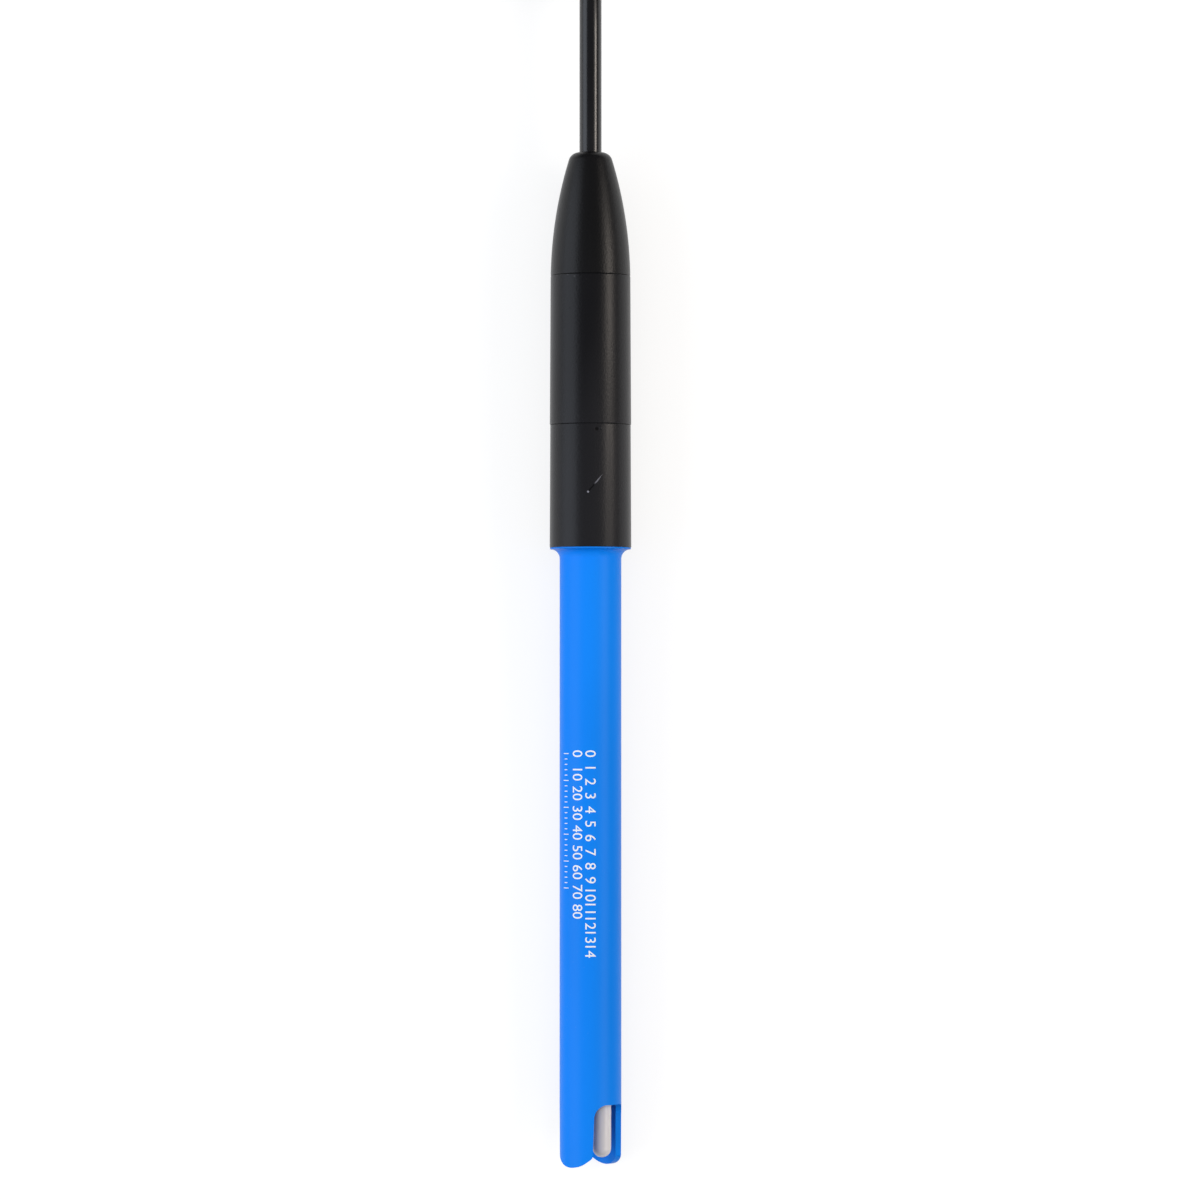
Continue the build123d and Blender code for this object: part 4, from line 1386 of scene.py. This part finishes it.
@dataclass
class Plug:
    """The round plug with its relief, pins and fluted coupling ring."""

    origin: Vector
    relief: tuple[float, float, float] = (18.0, 3.1, 4.5)
    cable: float = 2.15
    relief_grooves: int = 4
    groove_pitch: float = 2.8
    groove_width: float = 1.0
    relief_wall: float = 0.7
    body_radius: float = 5.3
    body_length: float = 14.0
    nose_radius: float = 4.2
    nose_length: float = 17.0
    nose_bore: float = 3.3
    insert_setback: float = 6.0
    insert_length: float = 6.0
    coupling_radius: float = 6.5
    coupling_length: float = 13.0
    coupling_bore: float = 4.26
    coupling_lip: float = 3.0
    thread_radius: float = 5.6
    thread_pitch: float = 1.0
    play: float = 0.3
    ridges: int = 36
    pin_circle: float = 1.7
    pins: int = 4
    pin_radius: float = 0.5
    pin_proud: float = 5.0
    pin_seat: float = 3.0
    body_edge: tuple[float, float] = (0.3, 0.5)
    waist_depth: float = 0.35
    waist_from: tuple[float, float] = (3.0, 3.6)
    shell_depth: float = 0.35
    band_depth: float = 0.15
    band: tuple[float, float, float] = (0.5, 1.3, 1.6)
    thread_depth: float = 0.35
    thread_setback: float = 0.6
    ridge_size: tuple[float, float] = (0.5, 0.62)
    ridge_setback: float = 1.7
    ridge_seat: float = 0.27
    ridge_edge: float = 0.16
    relief_corner: float = 0.22
    body_corner: float = 0.2
    ring_corner: float = 0.1

    def place(self) -> Matrix:
        """Carries millimetres about the plug's axis to the bench."""
        return Matrix.Scale(MM, 4) @ Matrix.Translation(self.origin) @ Matrix.Rotation(-math.pi / 2, 4, "X")

    def relief_outline(self) -> Profile:
        """A tapered sleeve with grooves that let it bend."""
        length, small, large = self.relief
        root = self.cable + self.relief_wall
        points = [(self.cable, 0.0), (small, 0.0)]
        for number in range(self.relief_grooves):
            z = (number + 1) * self.groove_pitch
            far = z + self.groove_width
            for height, deep in ((z, False), (z, True), (far, True), (far, False)):
                points.append((root if deep else small + (large - small) * height / length, height))
        points += [(large, length), (self.cable, length)]
        return softened(points, self.relief_corner, 3)

    def body_outline(self) -> Profile:
        """The plug's body with a shallow waist for the fingers, and its nose."""
        low = self.relief[0]
        nose = low + self.body_length
        end = nose + self.nose_length
        seat = end - self.insert_setback - self.insert_length
        radius, waist = self.body_radius, self.body_radius - self.waist_depth
        edge, rise = self.body_edge
        grip, neck = self.waist_from
        corners = [(0.0, low), (radius - edge, low), (radius, low + rise), (radius, low + grip),
                   (waist, low + neck), (waist, nose - neck), (radius, nose - grip), (radius, nose),
                   (self.nose_radius, nose), (self.nose_radius, end), (self.nose_bore, end),
                   (self.nose_bore, seat), (0.0, seat)]
        return softened(corners, self.body_corner, 3)

    def ring_outline(self, low: float) -> Profile:
        """The coupling ring with its lip and a threaded bore.

        Args:
            low: the height of its cable end.

        Returns:
            The outline, closed.
        """
        high = low + self.coupling_length
        shell = self.coupling_radius - self.shell_depth
        proud = self.coupling_radius - self.band_depth
        first, last, foot = self.band
        lip, root = low + self.coupling_lip, self.thread_radius - self.thread_depth
        points = [(self.coupling_bore, low), (shell, low), (proud, low + first), (proud, low + last),
                  (shell, low + foot), (shell, high - foot), (proud, high - last), (proud, high - first),
                  (shell, high), (self.thread_radius, high)]
        z = high - self.thread_setback
        while z - self.thread_pitch > lip + self.thread_setback:
            points += [(self.thread_radius, z), (root, z - self.thread_pitch / 2)]
            z -= self.thread_pitch
        points += [(self.thread_radius, z), (self.thread_radius, lip), (self.coupling_bore, lip)]
        return softened(points, self.ring_corner, 2)

    def ridge(self, low: float) -> bpy.types.Object:
        """One grip ridge of the ring, to be repeated.

        Args:
            low: the height of the ring's cable end.

        Returns:
            The ridge, on the axis.
        """
        bm = bmesh.new()
        bmesh.ops.create_cube(bm, size=1.0)
        length = self.coupling_length - 2 * self.ridge_setback
        bmesh.ops.scale(bm, vec=(*self.ridge_size, length), verts=bm.verts)
        bmesh.ops.bevel(bm, geom=list(bm.edges), offset=self.ridge_edge, segments=2, affect="EDGES",
                        profile=0.6)
        bmesh.ops.translate(bm, vec=(0, 0, low + self.coupling_length / 2), verts=bm.verts)
        return loose_item("ridge", bm)

    def pin(self, low: float, high: float) -> bpy.types.Object:
        """One contact pin with a rounded nose, to be repeated."""
        nose = arc(0, high - self.pin_radius, self.pin_radius, 0, 90, 6)
        return loose_item("pin", lathe([(0.0, low), (self.pin_radius, low), *nose], 20, False))

    def build(self, palette: Palette) -> list[bpy.types.Object]:
        """Makes the plug.

        Args:
            palette: the materials.

        Returns:
            Its pieces.
        """
        place = self.place()
        nose = self.relief[0] + self.body_length
        insert_top = nose + self.nose_length - self.insert_setback
        low = nose + self.play
        relief = make_piece("plug_relief_dressed", lathe(self.relief_outline(), 64), place,
                            palette["black_rubber"])
        body = make_piece("plug_body_dressed", lathe(self.body_outline(), 96), place,
                          palette["black_plastic"])
        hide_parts("plug_relief")
        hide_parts("plug_body")
        ring = make_piece("coupling_ring_dressed", lathe(self.ring_outline(low), 96), place,
                          palette["coupling_metal"], body=COUPLING)
        ridges = circle_pattern("coupling_ridges", self.ridge(low), self.ridges,
                                self.coupling_radius - self.ridge_seat, palette["coupling_metal"])
        ridges.transform(place)
        grip = add_mesh("coupling_ridges", ridges, palette["coupling_metal"], Finish.MOULDED, COUPLING)
        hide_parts("coupling_ring")
        pin = self.pin(insert_top - self.pin_seat, insert_top + self.pin_proud)
        pins = circle_pattern("plug_pins_dressed", pin, self.pins, self.pin_circle, palette["gold"])
        pins.transform(place)
        contacts = add_mesh("plug_pins_dressed", pins, palette["gold"], Finish.SOFT)
        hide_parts("plug_pins")
        return [relief, body, ring, grip, contacts]


@dataclass(frozen=True)
class Lamp:
    """A soft lamp beside the object: degrees from straight up to the right, metres and watts."""

    name: str
    angle: float
    distance: float
    size: tuple[float, float]
    watts: float
    colour: Colour
    along: float = 0.0

    def build(self) -> None:
        """Adds the lamp, turned to the object's axis."""
        light = bpy.data.lights.new(self.name, "AREA")
        light.shape = "RECTANGLE"
        light.size, light.size_y = self.size
        light.energy = self.watts
        light.color = self.colour
        holder = new_object(self.name, light)
        turn = math.radians(self.angle)
        holder.location = (self.distance * math.sin(turn), self.along, self.distance * math.cos(turn))
        holder.rotation_euler = Euler((0.0, turn, 0.0))


@dataclass
class Studio:
    """The camera, the lamps and the bench."""

    distance: float = 1.0
    view_tilt: float = 2.05
    aim: float = 0.01135
    side: float = 0.00185
    level: float = 0.0075
    seen_width: float = 0.2335
    sensor: float = 36.0
    lamps: tuple[Lamp, ...] = (
        Lamp("left_box", -62.0, 0.55, (0.46, 0.9), 2.6, (0.84, 0.90, 1.0)),
        Lamp("right_box", 54.0, 0.62, (0.26, 0.9), 1.7, (1.0, 0.92, 0.85)),
        Lamp("right_glint", 56.0, 0.60, (0.14, 0.10), 0.5, (1.0, 0.90, 0.80), 0.165),
    )
    floor_greys: tuple[float, float] = (0.31, 0.33)
    floor_glow: float = 0.74
    floor_size: float = 4.0
    room_low: float = 0.10
    room_rise: float = 0.68
    room_glossy_loss: float = 0.8

    def camera(self) -> None:
        """Sets the camera above the object, opposite its shaft, as the photograph was taken."""
        tilt = math.radians(self.view_tilt)
        target = Vector((self.side, self.aim, self.level))
        lens = bpy.data.cameras.new("camera")
        lens.sensor_width = self.sensor
        lens.lens = self.sensor * self.distance / self.seen_width
        lens.clip_end = 10.0
        camera = new_object("camera", lens)
        camera.location = target + self.distance * Vector((0.0, -math.sin(tilt), math.cos(tilt)))
        camera.rotation_euler = Euler((tilt, 0.0, 0.0))
        bpy.context.scene.camera = camera

    def bench(self) -> None:
        """Adds the pale floor."""
        material, shader, principled = new_material("bench")
        vector = shader.add("TexCoord").outputs["Object"]
        dark, light = ((grey, grey, grey) for grey in self.floor_greys)
        colour = shader.mix(shader.noise(vector, 3.0), dark, light)
        shader.tree.links.new(colour, principled.inputs["Base Color"])
        principled.inputs["Roughness"].default_value = 0.9
        principled.inputs["Specular IOR Level"].default_value = 0.1
        path = shader.add("LightPath")
        seen = shader.math("MAXIMUM", path.outputs["Is Camera Ray"], path.outputs["Is Glossy Ray"])
        seen = shader.math("MAXIMUM", seen, path.outputs["Is Transmission Ray"])
        glow = shader.add("Emission", {"Color": (1.0, 1.0, 1.0, 1.0)})
        shader.tree.links.new(shader.times(seen, self.floor_glow), glow.inputs["Strength"])
        both = shader.add("AddShader", {0: principled.outputs[0], 1: glow.outputs[0]})
        shader.tree.links.new(both.outputs[0], shader.nodes["Material Output"].inputs["Surface"])
        bm = bmesh.new()
        bmesh.ops.create_grid(bm, x_segments=2, y_segments=2, size=self.floor_size)
        mesh = freed_mesh("bench", bm)
        mesh.materials.append(material)
        new_object("bench", mesh)

    def build(self) -> None:
        """Sets up the camera, the lamps, the world and the bench."""
        self.camera()
        for lamp in self.lamps:
            lamp.build()
        self.room()
        bpy.context.scene.view_settings.view_transform = "Standard"
        self.bench()

    def room(self) -> None:
        """Lights the room from above, and less so where it is seen in a gloss."""
        world = bpy.data.worlds.new("room")
        world.use_nodes = True
        shader = Shader(world.node_tree)
        room = shader.nodes["Background"]
        room.inputs["Color"].default_value = (1.0, 1.0, 1.0, 1.0)
        height = shader.add("SeparateXYZ", {0: shader.add("TexCoord").outputs["Generated"]}).outputs[2]
        bright = shader.plus(shader.math("MULTIPLY", height, self.room_rise, clamp=True), self.room_low)
        glossy = shader.add("LightPath").outputs["Is Glossy Ray"]
        dimmed = shader.minus(1.0, shader.times(glossy, self.room_glossy_loss))
        world.node_tree.links.new(shader.times(bright, dimmed), room.inputs["Strength"])
        bpy.context.scene.world = world


def main() -> None:
    """Builds the scene in order: camera, cable route, then every piece."""
    logging.basicConfig(level=logging.INFO, format="%(message)s")
    Studio().build()
    palette = Palette().build()
    palette.dress_nodes()
    hank = Hank()
    plug_pieces = Plug(hank.plug_origin()).build(palette)
    Cable(hank).build(palette, plug_pieces)
    Shaft().build(palette)
    ShaftPrint().build(palette)
    SensingEnd().build(palette)
    Head().build(palette)


if __name__ == "__main__":
    main()
